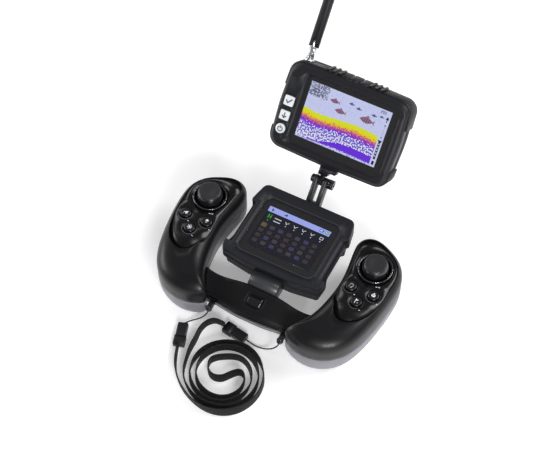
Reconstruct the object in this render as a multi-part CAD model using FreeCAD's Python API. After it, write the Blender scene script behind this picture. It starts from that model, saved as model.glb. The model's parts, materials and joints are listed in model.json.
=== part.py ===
import FreeCAD, Part
import math
import os

from FreeCAD import Vector

# Fish finder with a two-grip boat remote. X is to the user's right, Y away from the user, Z up from
# the table. Everything is built about the middle of the remote's display, and moved at the end so
# that the origin is under the middle of the whole object. All lengths are in millimetres.

UP = Vector(0, 0, 1)
RIGHT = Vector(1, 0, 0)
AWAY = Vector(0, 1, 0)
FAR = 400.0                  # larger than the object, for cutting

# ---- fits ----
WALL = 2.2                   # shell wall
SEAM = 0.2                   # gap between neighbouring shells
SLIP = 0.3                   # gap round a key or button
RUN = 0.05                   # radial clearance of a pin that turns in its bore
TRAVEL = 0.8                 # push of a button or key
SWITCH_GAP = 0.1             # left under a button that is pushed home

# ---- grips ----
GRIP_OUTLINE = [             # right-hand grip seen from above, from the horn's tip round
    (52.0, 16.0), (56.0, 28.0), (66.0, 31.3), (80.0, 27.2), (91.5, 19.5), (98.6, 7.5),
    (100.0, -8.0), (98.0, -29.0), (93.2, -53.0), (85.5, -70.5), (73.0, -81.5), (57.0, -85.6),
    (43.5, -83.0), (36.5, -77.5), (42.5, -67.0), (50.0, -52.5), (54.2, -34.0), (55.5, -15.0),
    (53.8, 2.0),
]
GRIP_SPINE = (Vector(74, 8, 0), Vector(68, -60, 0))
PLATE_Z = 44.2               # top of the control plate over the table
PLATE_T = 2.0
PLATE_MARGIN = 4.2           # from the grip's outline to the control plate's edge
ROOF_T = 2.2                 # shell under the control plate
CROWN = 2.8                  # palm's crown above the control plate
GRIP_PARTING_Z = 24.0        # where the dark upper shell meets the grey lower shell
GRIP_BELLY_Z, GRIP_FOOT_INSET = 18.0, 9.0        # widest from here up; foot inside the outline
GRIP_SHOULDER_Z, GRIP_CROWN_INSET = 36.0, 11.0   # widest up to here; crown inside the outline
GRIP_STEPS = 5
PALM_Y = -46.0               # the palm starts below this line
PALM_SLOPE = 0.55            # how much faster the crown falls towards the palm's end
TONGUE = [(88.0, -45.0), (80.5, -52.6), (71.5, -54.4), (64.5, -49.5), (60.8, -41.0)]
TONGUE_Y = -36.0             # control plate follows the grip's outline down to this line

# ---- thumb sticks ----
STICK_X, STICK_Y = 76.5, 3.1
RING_R = 14.4
RING_T = 1.0
RING_RISE = 1.0              # rim above the control plate
BALL_R = 11.0
BALL_TOP, BALL_SKIRT = 6.0, 3.0      # flat above the ball's centre, and open end below it
BALL_WALL = 1.2
WELL_GAP = 1.4               # between the ball and the well's foot
PAD_R, PAD_T, PAD_HOLLOW = 8.8, 0.8, 0.36
PIN_R = 0.8
YOKE_IN_R, YOKE_OUT_R, YOKE_T = 3.4, 5.0, 2.6
EAR_T, EAR_W, EAR_CAP = 1.2, 2.8, 0.7
EAR_GAP = 0.2                # between the yoke and each ear
GIMBAL_FLOOR_T = 2.0
GIMBAL_DEPTH = 9.5           # gimbal floor's top under the ball's centre
STEM_R = 1.7
PIN_SINK = 0.5               # yoke's pins start this far inside its rim

# ---- buttons ----
BUTTON_R = 4.5
BUTTON_RISE = 0.9
BUTTON_FLANGE = 0.9
FLANGE_T = 0.8
DISH_R, DISH_DEPTH = 6.2, 0.7
BUTTON_PLACES = {"outer": (86.2, -20.5), "inner": (66.4, -20.5), "lower": (76.3, -31.8)}
PCB_MARGIN, POST_LOW = 5.6, 2.6   # board past the buttons' centres; its posts below them
BOARD_T = 1.4
SWITCH_T = 1.3
SWITCH_W = 4.5

# ---- batteries and screws ----
CELL_R, CELL_L = 7.25, 50.0
CELL_X, CELL_Y = 75.0, -16.0
DOOR_W, DOOR_L, DOOR_T = 18.0, 54.0, 1.6
RIB_T, RIB_SPREAD, RIB_PAST = 2.0, 16.0, 2.0     # cell's ribs: from its middle, past the door
POST_R = 2.0
BOSS_R = 3.0
SCREW_R, SCREW_HEAD_R, SCREW_HEAD_T = 1.2, 2.2, 1.6
SCREW_PLACES = [(87.8, -11.5), (64.5, 17.5), (57.0, -62.0)]

# ---- display of the remote ----
FACE_Z = 42.0                # front of the bezel over the table
BEZEL_T = 7.0
HOUSING_BOTTOM_Z = 18.0
HOUSING_STEP_Z = 30.0
HOUSING_INSET = 2.6
BEZEL_RIGHT = [              # right half of the bezel, (x, y, corner radius) from the top down
    (41.6, 38.4, 6.0), (45.4, 19.5, 1.4), (43.0, 17.0, 1.6), (43.0, -17.0, 10.0),
    (46.0, -25.0, 8.0), (45.0, -35.0, 5.0), (22.0, -38.4, 60.0),
]
FLANK_X, FLANK_DROP = 39.2, 6.0
FLANK_Y0, FLANK_Y1 = -26.0, 17.6
LENS_W, LENS_TOP, LENS_BOTTOM, LENS_R, LENS_T = 69.0, 27.6, -29.4, 6.0, 1.2
LENS_SINK = 0.4
REMOTE_LCD_W, REMOTE_LCD_H, REMOTE_LCD_T, REMOTE_LCD_Y = 57.6, 43.2, 2.6, -0.9
REMOTE_BOARD_W, REMOTE_BOARD_H = 70.0, 54.0

# ---- neck and bridge ----
NECK_W = 26.0
NECK_BACK_Y, NECK_FRONT_Y = -36.0, -49.4
NECK_BACK_Z, NECK_FRONT_Z = 37.0, 31.2
NECK_BOTTOM_Z = 20.0
BRIDGE_PARTING_Z = 19.0
BRIDGE_BOTTOM_Z = 11.5
BRIDGE_SECTIONS = [          # (x, back y, back z, front y, front z) of the top's two upper corners
    (0.0, -49.6, 31.0, -71.8, 27.0), (15.0, -49.6, 30.8, -71.5, 26.8),
    (30.0, -50.8, 28.6, -69.8, 24.8), (45.0, -50.5, 28.0, -71.2, 24.6),
    (60.0, -47.0, 29.0, -74.5, 26.0),
]
BRIDGE_ROOF = 3.0            # roof's depth at its lowest back edge, beyond the wall
BRIDGE_ROOM_PAST = 6.0       # room runs this far past the grips' waist
BRIDGE_ROOM_FRONT, BRIDGE_ROOM_BACK = 0.8, 1.2   # room inside the top's front edge and back wall
BRIDGE_NOSE = 2.4            # front wall stands this far in front of the top's edge
POWER_W, POWER_L, POWER_Y = 12.4, 8.0, -61.2
POWER_RISE = 0.7
POWER_RIM = 1.0              # flange of the power button
PAD_HALF = 3.0               # half the width of the switch pad under it

# ---- lanyard eyelets ----
EYE_X, EYE_Y, EYE_Z = 32.6, -79.4, 20.6
EYE_R, EYE_HOLE_R, EYE_T = 2.7, 1.1, 2.6
EYE_ROOT = 1.2               # eyelet's arm runs this far into the bridge's nose line
EYE_NARROW = 0.4             # arm inside the eyelet's width on each side

# ---- fork arm and pivot ----
PIVOT_Y, PIVOT_Z = 57.9, 48.1
PRONG_T, ARM_H = 4.0, 8.0
TONGUE_T, TONGUE_R = 2.6, 4.0        # finder's tongue between the prongs
TONGUE_PLAY = 0.4            # between the tongue and each washer
ARM_FOOT_Y, ARM_FOOT_Z = 38.9, 28.5
ARM_FOOT_H, ARM_FOOT_T, ARM_FOOT_W = 13.0, 3.6, 18.0
ARM_SLOT_BACK = 5.0          # web left between the prongs and the foot
PIVOT_R = 1.5
WASHER_R, WASHER_T = 3.2, 0.5
ARM_W = 2 * (PRONG_T + WASHER_T + TONGUE_PLAY) + TONGUE_T
KNOB_R, KNOB_T, KNOB_LOBES = 4.2, 5.0, 8
LOBE_R, LOBE_OUT = 1.3, 0.7  # grooves of the knob, centred this far outside it
SCREW_END = 0.6              # screw's end inside the knob's face
HEAD_R, HEAD_T, HEAD_ROUND = 3.4, 2.8, 0.7
HEX_R, HEX_DEPTH = 1.3, 1.4  # driver's socket in the screw's head

# ---- finder: built upright with its pivot at the origin, then leaned back and lifted ----
LEAN = 50.0                  # screen's tilt from level
FINDER_BOTTOM = 13.7
FINDER_FRONT, FINDER_T = 9.6, 26.0
FINDER_LCD_W, FINDER_LCD_H, FINDER_LCD_T = 73.4, 49.0, 2.8
LCD_LEFT, LCD_RIGHT, LCD_LOW, LCD_HIGH = 4.0, 5.4, 7.3, 3.9    # glass stands past the picture
GLASS_RIGHT, GLASS_LOW, GLASS_HIGH = 10.0, 9.2, 8.6            # case stands past the glass
GLASS_T, GLASS_R = 1.4, 5.0
KEY_LEFT, KEY_TO_GLASS = 10.4, 8.8                             # case's left side, keys, glass
FINDER_SPLIT = 12.6          # front shell's depth
FINDER_BARREL = 1.6          # sides stand out this much at mid-height
FINDER_CORNER = 11.0
BUMPER_T = 1.6               # rubber stands out from the shells
BUMPER_TOP, BUMPER_BOTTOM = 54.0, 17.0   # top rubber starts, and bottom rubber ends, above the case's foot
BUMPER_FRONT, BUMPER_BACK = 1.2, 1.5     # rubber's edges inside the case's front and back
FRONT_CHAMFER = 3.2
GLASS_W = LCD_LEFT + FINDER_LCD_W + LCD_RIGHT
GLASS_H = LCD_LOW + FINDER_LCD_H + LCD_HIGH
FINDER_W = KEY_LEFT + KEY_TO_GLASS + GLASS_W + GLASS_RIGHT
FINDER_H = GLASS_LOW + GLASS_H + GLASS_HIGH
KEY_X = -FINDER_W / 2 + KEY_LEFT
SCREEN_X = FINDER_W / 2 - GLASS_RIGHT - LCD_RIGHT - FINDER_LCD_W / 2
SCREEN_V = FINDER_BOTTOM + GLASS_LOW + LCD_LOW + FINDER_LCD_H / 2
BOARD_MARGIN, BOARD_MARGIN_V = 1.0, 11.0                       # case to the circuit board
CARRIER_INSET = 4.5          # picture panel's carrier inside the panel's edges
BOSS_IN = 14.0               # back shell's bosses from its sides
PACK_W, PACK_H, PACK_T = 60.0, 40.0, 7.0
KEYS = {                     # name: (height from the screen's middle, width, height, corner radius)
    "check_key": (1.2, 8.4, 8.6, 0.9), "arrow_key": (-11.6, 8.4, 8.2, 0.9),
    "finder_power_key": (-23.4, 8.4, 8.4, 4.19),
}
KEY_RISE = 0.9
RIB_COUNT, RIB_PITCH = 4, 9.0

# ---- finder foot ----
FOOT_W, FOOT_DEPTH, FOOT_SIDE = 8.0, 9.0, 6.5
FOOT_BASE = 6.0              # foot block starts this far above the pivot

# ---- antenna ----
SOCKET_LEFT, SOCKET_R, SOCKET_T = 12.0, 4.2, 1.6
SPIGOT_R, SPIGOT_L = 2.1, 3.0        # stub that the swivel nut turns on
ANT_BACK = 3.4               # antenna's axis behind the pivot's plane
SOCKET_SINK = 1.2            # socket's flange below the case's highest line
BASE_R, BASE_L = 3.0, 10.0
KNUCKLE_W, KNUCKLE_R, KNUCKLE_GAP = 2.6, 2.8, 0.5
ANT_PIN_R = 0.9
WHIP_R, WHIP_TIP_R, WHIP_L = 4.4, 3.7, 112.0
SLEEVE_L = 46.0              # straight lower part of the whip, before it tapers
WHIP_ROUND = 1.6
PIN_INSIDE = 0.8             # knuckle's pin ends inside the whip's side
FORK_DEPTH = 8.0

# ---- lanyard ----
CORD_R = 0.6
STRAP_W = 10.0
COIL_X, COIL_Y, COIL_R, COIL_IN_R = 4.0, -121.5, 34.0, 24.0
BUCKLE_W, BUCKLE_T, BUCKLE_L, CLIP_L = 10.0, 5.0, 12.0, 9.0
LEFT_HEADING, RIGHT_HEADING = -72.0, 172.0         # degrees
LEFT_BUCKLE = (Vector(-49.2, -93.6, 0), LEFT_HEADING)     # cord end of the buckle, and its heading
RIGHT_BUCKLE = (Vector(3.0, -83.0, 0), RIGHT_HEADING)
SOCKET_INSET, CLIP_INSET = 0.6, 0.4                # socket narrower, clip thinner than the buckle
LEFT_CORD = [(-32.6, -79.4, 21.2), (-32.8, -79.8, 15.0), (-35.6, -82.4, 8.6), (-40.4, -85.0, 4.0),
             (-45.6, -88.2, 2.2), (-48.6, -92.7, 2.5)]
RIGHT_CORD = [(32.6, -79.4, 21.2), (32.4, -80.0, 14.4), (28.8, -81.8, 7.4), (22.6, -83.2, 2.8),
              (15.2, -84.4, 1.6), (8.6, -84.0, 2.0), (3.3, -83.05, 2.5)]
LEAD = [(-42.7, -113.6, 5.0), (-39.4, -123.8, 5.0), (-33.0, -135.4, 5.0), (-23.2, -144.8, 5.0)]
TAIL = [(-17.8, -80.1, 5.0), (-25.6, -79.0, 5.0), (-31.8, -84.4, 5.0), (-34.0, -93.2, 5.0),
        (-32.6, -102.6, 5.0)]


# ================= helpers =================

def rounded_wire(corners, z=0.0):
    """Closed wire through (x, y, radius) corners, each rounded by a tangent arc."""
    count = len(corners)
    points = [Vector(x, y, z) for x, y, r in corners]
    edges, start, first = [], None, None
    for i in range(count):
        here, radius = points[i], corners[i][2]
        back = points[i - 1] - here
        ahead = points[(i + 1) % count] - here
        half = back.getAngle(ahead) / 2
        room = 0.49 * min(back.Length, ahead.Length)
        reach = min(radius / math.tan(half), room)
        radius = reach * math.tan(half)
        a = here + Vector(back).normalize() * reach
        b = here + Vector(ahead).normalize() * reach
        middle = (Vector(back).normalize() + Vector(ahead).normalize()).normalize()
        top = here + middle * (radius / math.sin(half) - radius)
        if start is not None:
            edges.append(Part.makeLine(start, a))
        else:
            first = a
        edges.append(Part.Arc(a, top, b).toShape())
        start = b
    edges.append(Part.makeLine(start, first))
    return Part.Wire(edges)


def slab(corners, z0, z1):
    """Flat plate with a rounded outline between two heights."""
    return Part.Face(rounded_wire(corners, z0)).extrude(UP * (z1 - z0))


def tile(x0, x1, y0, y1, z0, z1, radius=0.0):
    """Box, or a plate with rounded corners."""
    if radius <= 0:
        return Part.makeBox(x1 - x0, y1 - y0, z1 - z0, Vector(x0, y0, z0))
    corners = [(x0, y0, radius), (x1, y0, radius), (x1, y1, radius), (x0, y1, radius)]
    return slab(corners, z0, z1)


def rod(start, direction, radius, length):
    return Part.makeCylinder(radius, length, start, direction)


def pipe(start, direction, outer, inner, length):
    return rod(start, direction, outer, length).cut(rod(start, direction, inner, length))


def below(z):
    return Part.makeBox(2 * FAR, 2 * FAR, FAR, Vector(-FAR, -FAR, z - FAR))


def above(z):
    return Part.makeBox(2 * FAR, 2 * FAR, FAR, Vector(-FAR, -FAR, z))


def mirrored(shape):
    return shape.mirror(Vector(0, 0, 0), RIGHT)


def profile_x(points, x0, x1):
    """Prism along X from (y, z) points."""
    wire = Part.makePolygon([Vector(x0, y, z) for y, z in points + points[:1]])
    return Part.Face(wire).extrude(RIGHT * (x1 - x0))


def softened(shape, radius, choose):
    """Fillets the edges that choose() picks."""
    edges = [e for e in shape.Edges if choose(e)]
    return shape.makeFillet(radius, edges) if edges else shape


def flat_edge_at(z):
    """Picks the edges that lie at one height."""
    return lambda e: abs(e.BoundBox.ZMin - z) < 1e-4 and abs(e.BoundBox.ZMax - z) < 1e-4


def both_halves(right_half):
    """Full outline from its right half, given from the top down."""
    return right_half + [(-x, y, r) for x, y, r in reversed(right_half)]


def grown(corners, by):
    """Rough offset of an outline: corners pushed in or out along both axes."""
    return [(x + by * math.copysign(1, x), y + by * math.copysign(1, y), max(r + by, 0.5))
            for x, y, r in corners]


# ================= grips =================

def spine_point(p):
    a, b = GRIP_SPINE
    along = max(0.0, min(1.0, (p - a).dot(b - a) / (b - a).Length ** 2))
    return a + (b - a) * along


def grip_loop(z, inset, points=None):
    """Points of the grip's outline at one height, drawn in towards the spine by inset."""
    moved = []
    for x, y in points or GRIP_OUTLINE:
        p = Vector(x, y, 0)
        s = spine_point(p)
        share = max(0.0, min(1.0, (PALM_Y - y) / 40.0)) if z > PLATE_Z - 9 else 0.0
        step = inset * (1 + PALM_SLOPE * share)
        step = min(step, 0.8 * (p - s).Length)
        moved.append(p + (s - p).normalize() * step + UP * z)
    return moved


def closed_spline(points):
    """Closed smooth curve; every curve of a loft shares the first outline's parameters."""
    params = [0.0]
    if len(points) == len(GRIP_OUTLINE):
        base = [Vector(x, y, 0) for x, y in GRIP_OUTLINE]
    else:
        base = points
    for a, b in zip(base, base[1:] + base[:1]):
        params.append(params[-1] + math.sqrt((b - a).Length))
    curve = Part.BSplineCurve()
    curve.interpolate(Points=points, PeriodicFlag=True,
                      Parameters=[p / params[-1] for p in params])
    return Part.Wire([curve.toShape()])


def grip_inset(z):
    """How far the grip's side stands inside its outline at one height."""
    if z < GRIP_BELLY_Z:
        share = (GRIP_BELLY_Z - z) / GRIP_BELLY_Z
        return GRIP_FOOT_INSET * (1 - math.sqrt(1 - share ** 2))
    if z > GRIP_SHOULDER_Z:
        share = (z - GRIP_SHOULDER_Z) / (PLATE_Z + CROWN - GRIP_SHOULDER_Z)
        return GRIP_CROWN_INSET * (1 - math.sqrt(max(0.0, 1 - share ** 2)))
    return 0.0


def grip_heights():
    """Section heights, evenly spread round the foot's and the shoulder's curves."""
    steps = [math.pi / 2 * i / GRIP_STEPS for i in range(GRIP_STEPS + 1)]
    foot = [GRIP_BELLY_Z * (1 - math.cos(a)) for a in steps]
    rise = PLATE_Z + CROWN - GRIP_SHOULDER_Z
    return foot + [GRIP_SHOULDER_Z + rise * math.sin(a) for a in steps]


def grip_solid(extra):
    """The right-hand grip's outer form, drawn in by extra."""
    wires = [closed_spline(grip_loop(z, grip_inset(z) + extra)) for z in grip_heights()]
    return outward(Part.makeLoft(wires, True, False))


def grip_hollow(roof_z):
    """Room inside the grip, between its floor and its roof."""
    inner = [z for z in grip_heights() if WALL + 0.5 < z < roof_z - 0.5]
    heights = [WALL] + inner + [roof_z]
    wires = [closed_spline(grip_loop(z, grip_inset(z) + WALL)) for z in heights]
    return outward(Part.makeLoft(wires, True, True))


def outward(solid):
    if solid.Volume < 0:
        solid.reverse()
    return solid


def plate_wire(margin, z):
    """Outline of the control plate: the grip's own outline, closed by a tongue above the palm."""
    followed = [p for p in grip_loop(0.0, margin) if p.y > TONGUE_Y]
    split = next(i for i, (x, y) in enumerate(GRIP_OUTLINE) if y < TONGUE_Y)
    outer = [Vector(p.x, p.y, z) for p in grip_loop(0.0, margin)[:split]]
    inner = [Vector(p.x, p.y, z) for p in followed[split:]]
    tongue = [Vector(x, y, z) for x, y in TONGUE]
    return closed_spline(outer + tongue + inner)


def grip_shells(outer):
    roof_z = PLATE_Z - PLATE_T - ROOF_T
    hollow = grip_hollow(roof_z)
    bosses, posts, screw_holes, seats = [], [], [], []
    for x, y in SCREW_PLACES:
        foot, parting = Vector(x, y, -1), Vector(x, y, GRIP_PARTING_Z)
        rise = roof_z - GRIP_PARTING_Z
        bosses.append(rod(parting, UP, BOSS_R, rise + 1))
        posts.append(rod(foot, UP, BOSS_R, GRIP_PARTING_Z + 2))
        screw_holes.append(rod(foot, UP, SCREW_R, GRIP_PARTING_Z + 1 + 0.6 * rise))
        seats.append(rod(foot, UP, SCREW_HEAD_R + SLIP, screw_seat_z() + 1))
    for x, y in board_posts():
        top = board_top_z()
        bosses.append(rod(Vector(x, y, top), UP, POST_R, roof_z - top + 1))
    for end in (-1, 1):
        rib_y = CELL_Y + end * RIB_SPREAD
        rib = tile(CELL_X - DOOR_W / 2 - RIB_PAST, CELL_X + DOOR_W / 2 + RIB_PAST,
                   rib_y - RIB_T / 2, rib_y + RIB_T / 2, 0, cell_z())
        posts.append(rib.cut(rod(Vector(CELL_X, -FAR, cell_z()), AWAY, CELL_R, 2 * FAR)))
    upper = outer.common(above(GRIP_PARTING_Z))
    upper = upper.cut(hollow.common(above(GRIP_PARTING_Z)).cut(bosses)).cut(screw_holes)
    upper = upper.cut(Part.Face(plate_wire(PLATE_MARGIN - SEAM, PLATE_Z - PLATE_T)).extrude(UP * FAR))
    upper = upper.cut(rod(Vector(STICK_X, STICK_Y, GRIP_PARTING_Z), UP, RING_R + SLIP, FAR))
    for x, y in BUTTON_PLACES.values():
        upper = upper.cut(rod(Vector(x, y, GRIP_PARTING_Z), UP, BUTTON_R + SLIP, FAR))
    lower = outer.common(below(GRIP_PARTING_Z))
    lower = lower.cut(hollow.common(below(GRIP_PARTING_Z)).cut(posts)).cut(screw_holes).cut(seats)
    return upper, lower.cut(door_solid(SEAM))


def cell_z():
    return DOOR_T + SEAM + 0.8 + CELL_R


def screw_seat_z():
    return WALL + SCREW_HEAD_T + 2.4


def door_solid(extra):
    return tile(CELL_X - DOOR_W / 2 - extra, CELL_X + DOOR_W / 2 + extra,
                CELL_Y - DOOR_L / 2 - extra, CELL_Y + DOOR_L / 2 + extra, 0.0, DOOR_T + extra, 3.0)


def control_plate():
    plate = Part.Face(plate_wire(PLATE_MARGIN, PLATE_Z - PLATE_T)).extrude(UP * PLATE_T)
    plate = plate.cut(rod(Vector(STICK_X, STICK_Y, 0), UP, RING_R + RUN, FAR))
    for x, y in BUTTON_PLACES.values():
        plate = plate.cut(rod(Vector(x, y, 0), UP, BUTTON_R + SLIP, FAR))
        dish = Part.makeCone(BUTTON_R + SLIP, DISH_R, DISH_DEPTH,
                             Vector(x, y, PLATE_Z - DISH_DEPTH), UP)
        plate = plate.cut(dish)
    return plate


# ================= thumb stick =================

def stick_centre():
    return Vector(STICK_X, STICK_Y, PLATE_Z + RING_RISE)


def stick_ring():
    """Bezel ring with a conical well, standing in the control plate."""
    c = stick_centre()
    bottom = c - UP * GIMBAL_DEPTH
    ring = rod(bottom, UP, RING_R, GIMBAL_DEPTH)
    ring = ring.makeFillet(0.9 * RING_T / 2, [e for e in ring.Edges
                           if flat_edge_at(c.z)(e) and len(e.Vertexes) == 1])
    well = Part.makeCone(BALL_R + WELL_GAP, RING_R - RING_T, GIMBAL_DEPTH, bottom, UP)
    return ring.cut(well)


def gimbal_base():
    """Floor under the ring's well, with two ears that carry the yoke's pins."""
    c = stick_centre()
    floor = rod(c - UP * (GIMBAL_DEPTH + GIMBAL_FLOOR_T), UP, RING_R, GIMBAL_FLOOR_T)
    base = floor
    inner = YOKE_OUT_R + EAR_GAP
    for side in (-1, 1):
        x0 = c.x + (inner if side > 0 else -inner - EAR_T)
        ear = tile(x0, x0 + EAR_T, c.y - EAR_W / 2, c.y + EAR_W / 2, c.z - GIMBAL_DEPTH,
                   c.z + PIN_R + EAR_CAP)
        base = base.fuse(ear)
    bore = rod(c - RIGHT * RING_R, RIGHT, PIN_R + RUN, 2 * RING_R)
    return base.cut(bore)


def gimbal_yoke():
    """Ring round the stick's stem. Its pins lie along X and carry it in the base's ears."""
    c = stick_centre()
    yoke = pipe(c - UP * (YOKE_T / 2), UP, YOKE_OUT_R, YOKE_IN_R, YOKE_T)
    reach = YOKE_OUT_R + EAR_GAP + EAR_T
    pins = rod(c - RIGHT * reach, RIGHT, PIN_R, 2 * reach)
    pins = pins.cut(rod(c - UP * YOKE_T, UP, YOKE_OUT_R - PIN_SINK, 2 * YOKE_T))
    yoke = yoke.fuse(pins)
    return yoke.cut(rod(c - AWAY * RING_R, AWAY, PIN_R + RUN, 2 * RING_R))


def thumb_stick():
    """Hollow ball cap with a stem and a cross pin along Y that hangs it in the yoke."""
    c = stick_centre()
    ball = Part.makeSphere(BALL_R, c).cut(above(c.z + BALL_TOP)).cut(below(c.z - BALL_SKIRT))
    room = Part.makeSphere(BALL_R - BALL_WALL, c).cut(above(c.z + BALL_TOP - BALL_WALL))
    ball = ball.cut(room)
    stem = rod(c - UP * PIN_R, UP, STEM_R, BALL_TOP - BALL_WALL + PIN_R)
    pin = rod(c - AWAY * YOKE_OUT_R, AWAY, PIN_R, 2 * YOKE_OUT_R)
    return ball.fuse(stem).fuse(pin)


def stick_pad():
    c = stick_centre()
    pad = rod(c + UP * BALL_TOP, UP, PAD_R, PAD_T)
    pad = pad.makeFillet(0.4 * PAD_T, [e for e in pad.Edges
                         if flat_edge_at(c.z + BALL_TOP + PAD_T)(e)])
    dish_r = 4.0 * PAD_R
    dish = Part.makeSphere(dish_r, c + UP * (BALL_TOP + PAD_T - PAD_HOLLOW + dish_r))
    return pad.cut(dish)


# ================= buttons =================

def flange_bottom_z():
    return PLATE_Z - PLATE_T - ROOF_T - FLANGE_T


def board_top_z():
    return flange_bottom_z() - TRAVEL - SWITCH_GAP - SWITCH_T


def board_posts():
    (x0, y0), (x1, y1) = BUTTON_PLACES["inner"], BUTTON_PLACES["outer"]
    low = BUTTON_PLACES["lower"][1] - POST_LOW
    return [(x0, low), (x1, low)]


def round_button(x, y):
    low = flange_bottom_z()
    top = PLATE_Z + BUTTON_RISE
    cap = rod(Vector(x, y, low), UP, BUTTON_R, top - low)
    cap = cap.makeFillet(0.8, [e for e in cap.Edges if flat_edge_at(top)(e)])
    return cap.fuse(rod(Vector(x, y, low), UP, BUTTON_R + BUTTON_FLANGE, FLANGE_T))


def switch_board():
    top = board_top_z()
    x0, x1 = BUTTON_PLACES["inner"][0] - PCB_MARGIN, BUTTON_PLACES["outer"][0] + PCB_MARGIN
    y0, y1 = BUTTON_PLACES["lower"][1] - PCB_MARGIN, BUTTON_PLACES["outer"][1] + PCB_MARGIN
    board = tile(x0, x1, y0, y1, top - BOARD_T, top, 2.0)
    for x, y in BUTTON_PLACES.values():
        half = SWITCH_W / 2
        board = board.fuse(tile(x - half, x + half, y - half, y + half, top, top + SWITCH_T))
    return board


# ================= display =================

def display_bezel():
    bezel = slab(both_halves(BEZEL_RIGHT), FACE_Z - BEZEL_T, FACE_Z)
    bezel = softened(bezel, 0.9, flat_edge_at(FACE_Z))
    flank = [(FLANK_X, FACE_Z + 0.01), (FLANK_X + 9, FACE_Z + 0.01),
             (FLANK_X + 9, FACE_Z - 1.6 * FLANK_DROP), (FLANK_X + 4.4, FACE_Z - FLANK_DROP)]
    wire = Part.makePolygon([Vector(x, FLANK_Y0, z) for x, z in flank + flank[:1]])
    wedge = Part.Face(wire).extrude(AWAY * (FLANK_Y1 - FLANK_Y0))
    bezel = bezel.cut(wedge).cut(mirrored(wedge))
    half = LENS_W / 2
    bezel = bezel.cut(tile(-half - SEAM, half + SEAM, LENS_BOTTOM - SEAM, LENS_TOP + SEAM,
                           FACE_Z - LENS_SINK - LENS_T, FACE_Z + 1, LENS_R))
    lcd_w, lcd_h = REMOTE_LCD_W / 2 + SEAM, REMOTE_LCD_H / 2 + SEAM
    return bezel.cut(tile(-lcd_w, lcd_w, REMOTE_LCD_Y - lcd_h, REMOTE_LCD_Y + lcd_h, 0, FACE_Z))


def display_lens():
    top = FACE_Z - LENS_SINK
    half = LENS_W / 2
    return tile(-half, half, LENS_BOTTOM, LENS_TOP, top - LENS_T, top, LENS_R)


def remote_lcd():
    top = FACE_Z - LENS_SINK - LENS_T
    return tile(-REMOTE_LCD_W / 2, REMOTE_LCD_W / 2, REMOTE_LCD_Y - REMOTE_LCD_H / 2,
                REMOTE_LCD_Y + REMOTE_LCD_H / 2, top - REMOTE_LCD_T, top)


def remote_board():
    top = FACE_Z - BEZEL_T
    board = tile(-REMOTE_BOARD_W / 2, REMOTE_BOARD_W / 2, REMOTE_LCD_Y - REMOTE_BOARD_H / 2,
                 REMOTE_LCD_Y + REMOTE_BOARD_H / 2, top - BOARD_T, top, 2.0)
    carrier = tile(-REMOTE_LCD_W / 2 + 2, REMOTE_LCD_W / 2 - 2, REMOTE_LCD_Y - 18,
                   REMOTE_LCD_Y + 18, top, FACE_Z - LENS_SINK - LENS_T - REMOTE_LCD_T)
    return board.fuse(carrier)


def housing_outer(extra=0.0):
    top = FACE_Z - BEZEL_T
    outline = grown(both_halves(BEZEL_RIGHT), extra)
    body = slab(outline, HOUSING_STEP_Z, top)
    lower = slab(grown(outline, -HOUSING_INSET), HOUSING_BOTTOM_Z - extra, HOUSING_STEP_Z)
    return body.fuse(lower)


def display_housing():
    body = housing_outer()
    body = softened(body, 2.0, flat_edge_at(HOUSING_BOTTOM_Z))
    room = slab(grown(both_halves(BEZEL_RIGHT), -HOUSING_INSET - WALL),
                HOUSING_BOTTOM_Z + WALL, FACE_Z - BEZEL_T)
    body = body.cut(room)
    posts = []
    for sx in (-1, 1):
        for y in (20.0, -22.0):
            bottom = HOUSING_BOTTOM_Z + WALL
            post = rod(Vector(sx * 31.0, y, bottom), UP, 2.5, FACE_Z - BEZEL_T - BOARD_T - bottom)
            posts.append(post)
    return body.fuse(posts)


# ================= neck, bridge =================

def neck():
    points = [(NECK_BACK_Y, NECK_BOTTOM_Z), (NECK_BACK_Y, NECK_BACK_Z),
              (NECK_FRONT_Y, NECK_FRONT_Z), (NECK_FRONT_Y, NECK_BOTTOM_Z)]
    block = profile_x(points, -NECK_W / 2, NECK_W / 2)
    top = [e for e in block.Edges if e.BoundBox.XLength < 1e-4 and e.BoundBox.ZMin > 30]
    block = block.makeChamfer(0.9, top)
    block = block.cut(housing_outer())
    return block.cut(slab(both_halves(BEZEL_RIGHT), FACE_Z - BEZEL_T, FACE_Z))


def bridge_section(x, back_y, back_z, front_y, front_z):
    """Closed section of the bridge across Y and Z at one place along X."""
    nose_y = front_y - BRIDGE_NOSE
    points = [(back_y, BRIDGE_BOTTOM_Z + 2.0), (back_y, back_z - 1.6), (back_y - 1.8, back_z),
              (front_y + 2.0, front_z), (front_y - 0.6, front_z - 1.2), (nose_y, front_z - 4.4),
              (nose_y, BRIDGE_BOTTOM_Z + 3.4), (nose_y + 3.0, BRIDGE_BOTTOM_Z),
              (back_y - 2.0, BRIDGE_BOTTOM_Z)]
    corners = [Vector(x, y, z) for y, z in points]
    return Part.makePolygon(corners + corners[:1])


def bridge_solid():
    left = [(-x, by, bz, fy, fz) for x, by, bz, fy, fz in reversed(BRIDGE_SECTIONS[1:])]
    wires = [bridge_section(*s) for s in left + BRIDGE_SECTIONS]
    return outward(Part.makeLoft(wires, True, False))


def bridge_roof_z():
    """Top of the room inside the bridge."""
    return min(section[2] for section in BRIDGE_SECTIONS) - WALL - BRIDGE_ROOF


def bridge_hollow():
    half = min(x for x, y in GRIP_OUTLINE) + BRIDGE_ROOM_PAST
    x, back_y, back_z, front_y, front_z = BRIDGE_SECTIONS[0]
    return tile(-half, half, front_y + BRIDGE_ROOM_FRONT, back_y - WALL - BRIDGE_ROOM_BACK,
                BRIDGE_BOTTOM_Z + WALL, bridge_roof_z())


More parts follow.
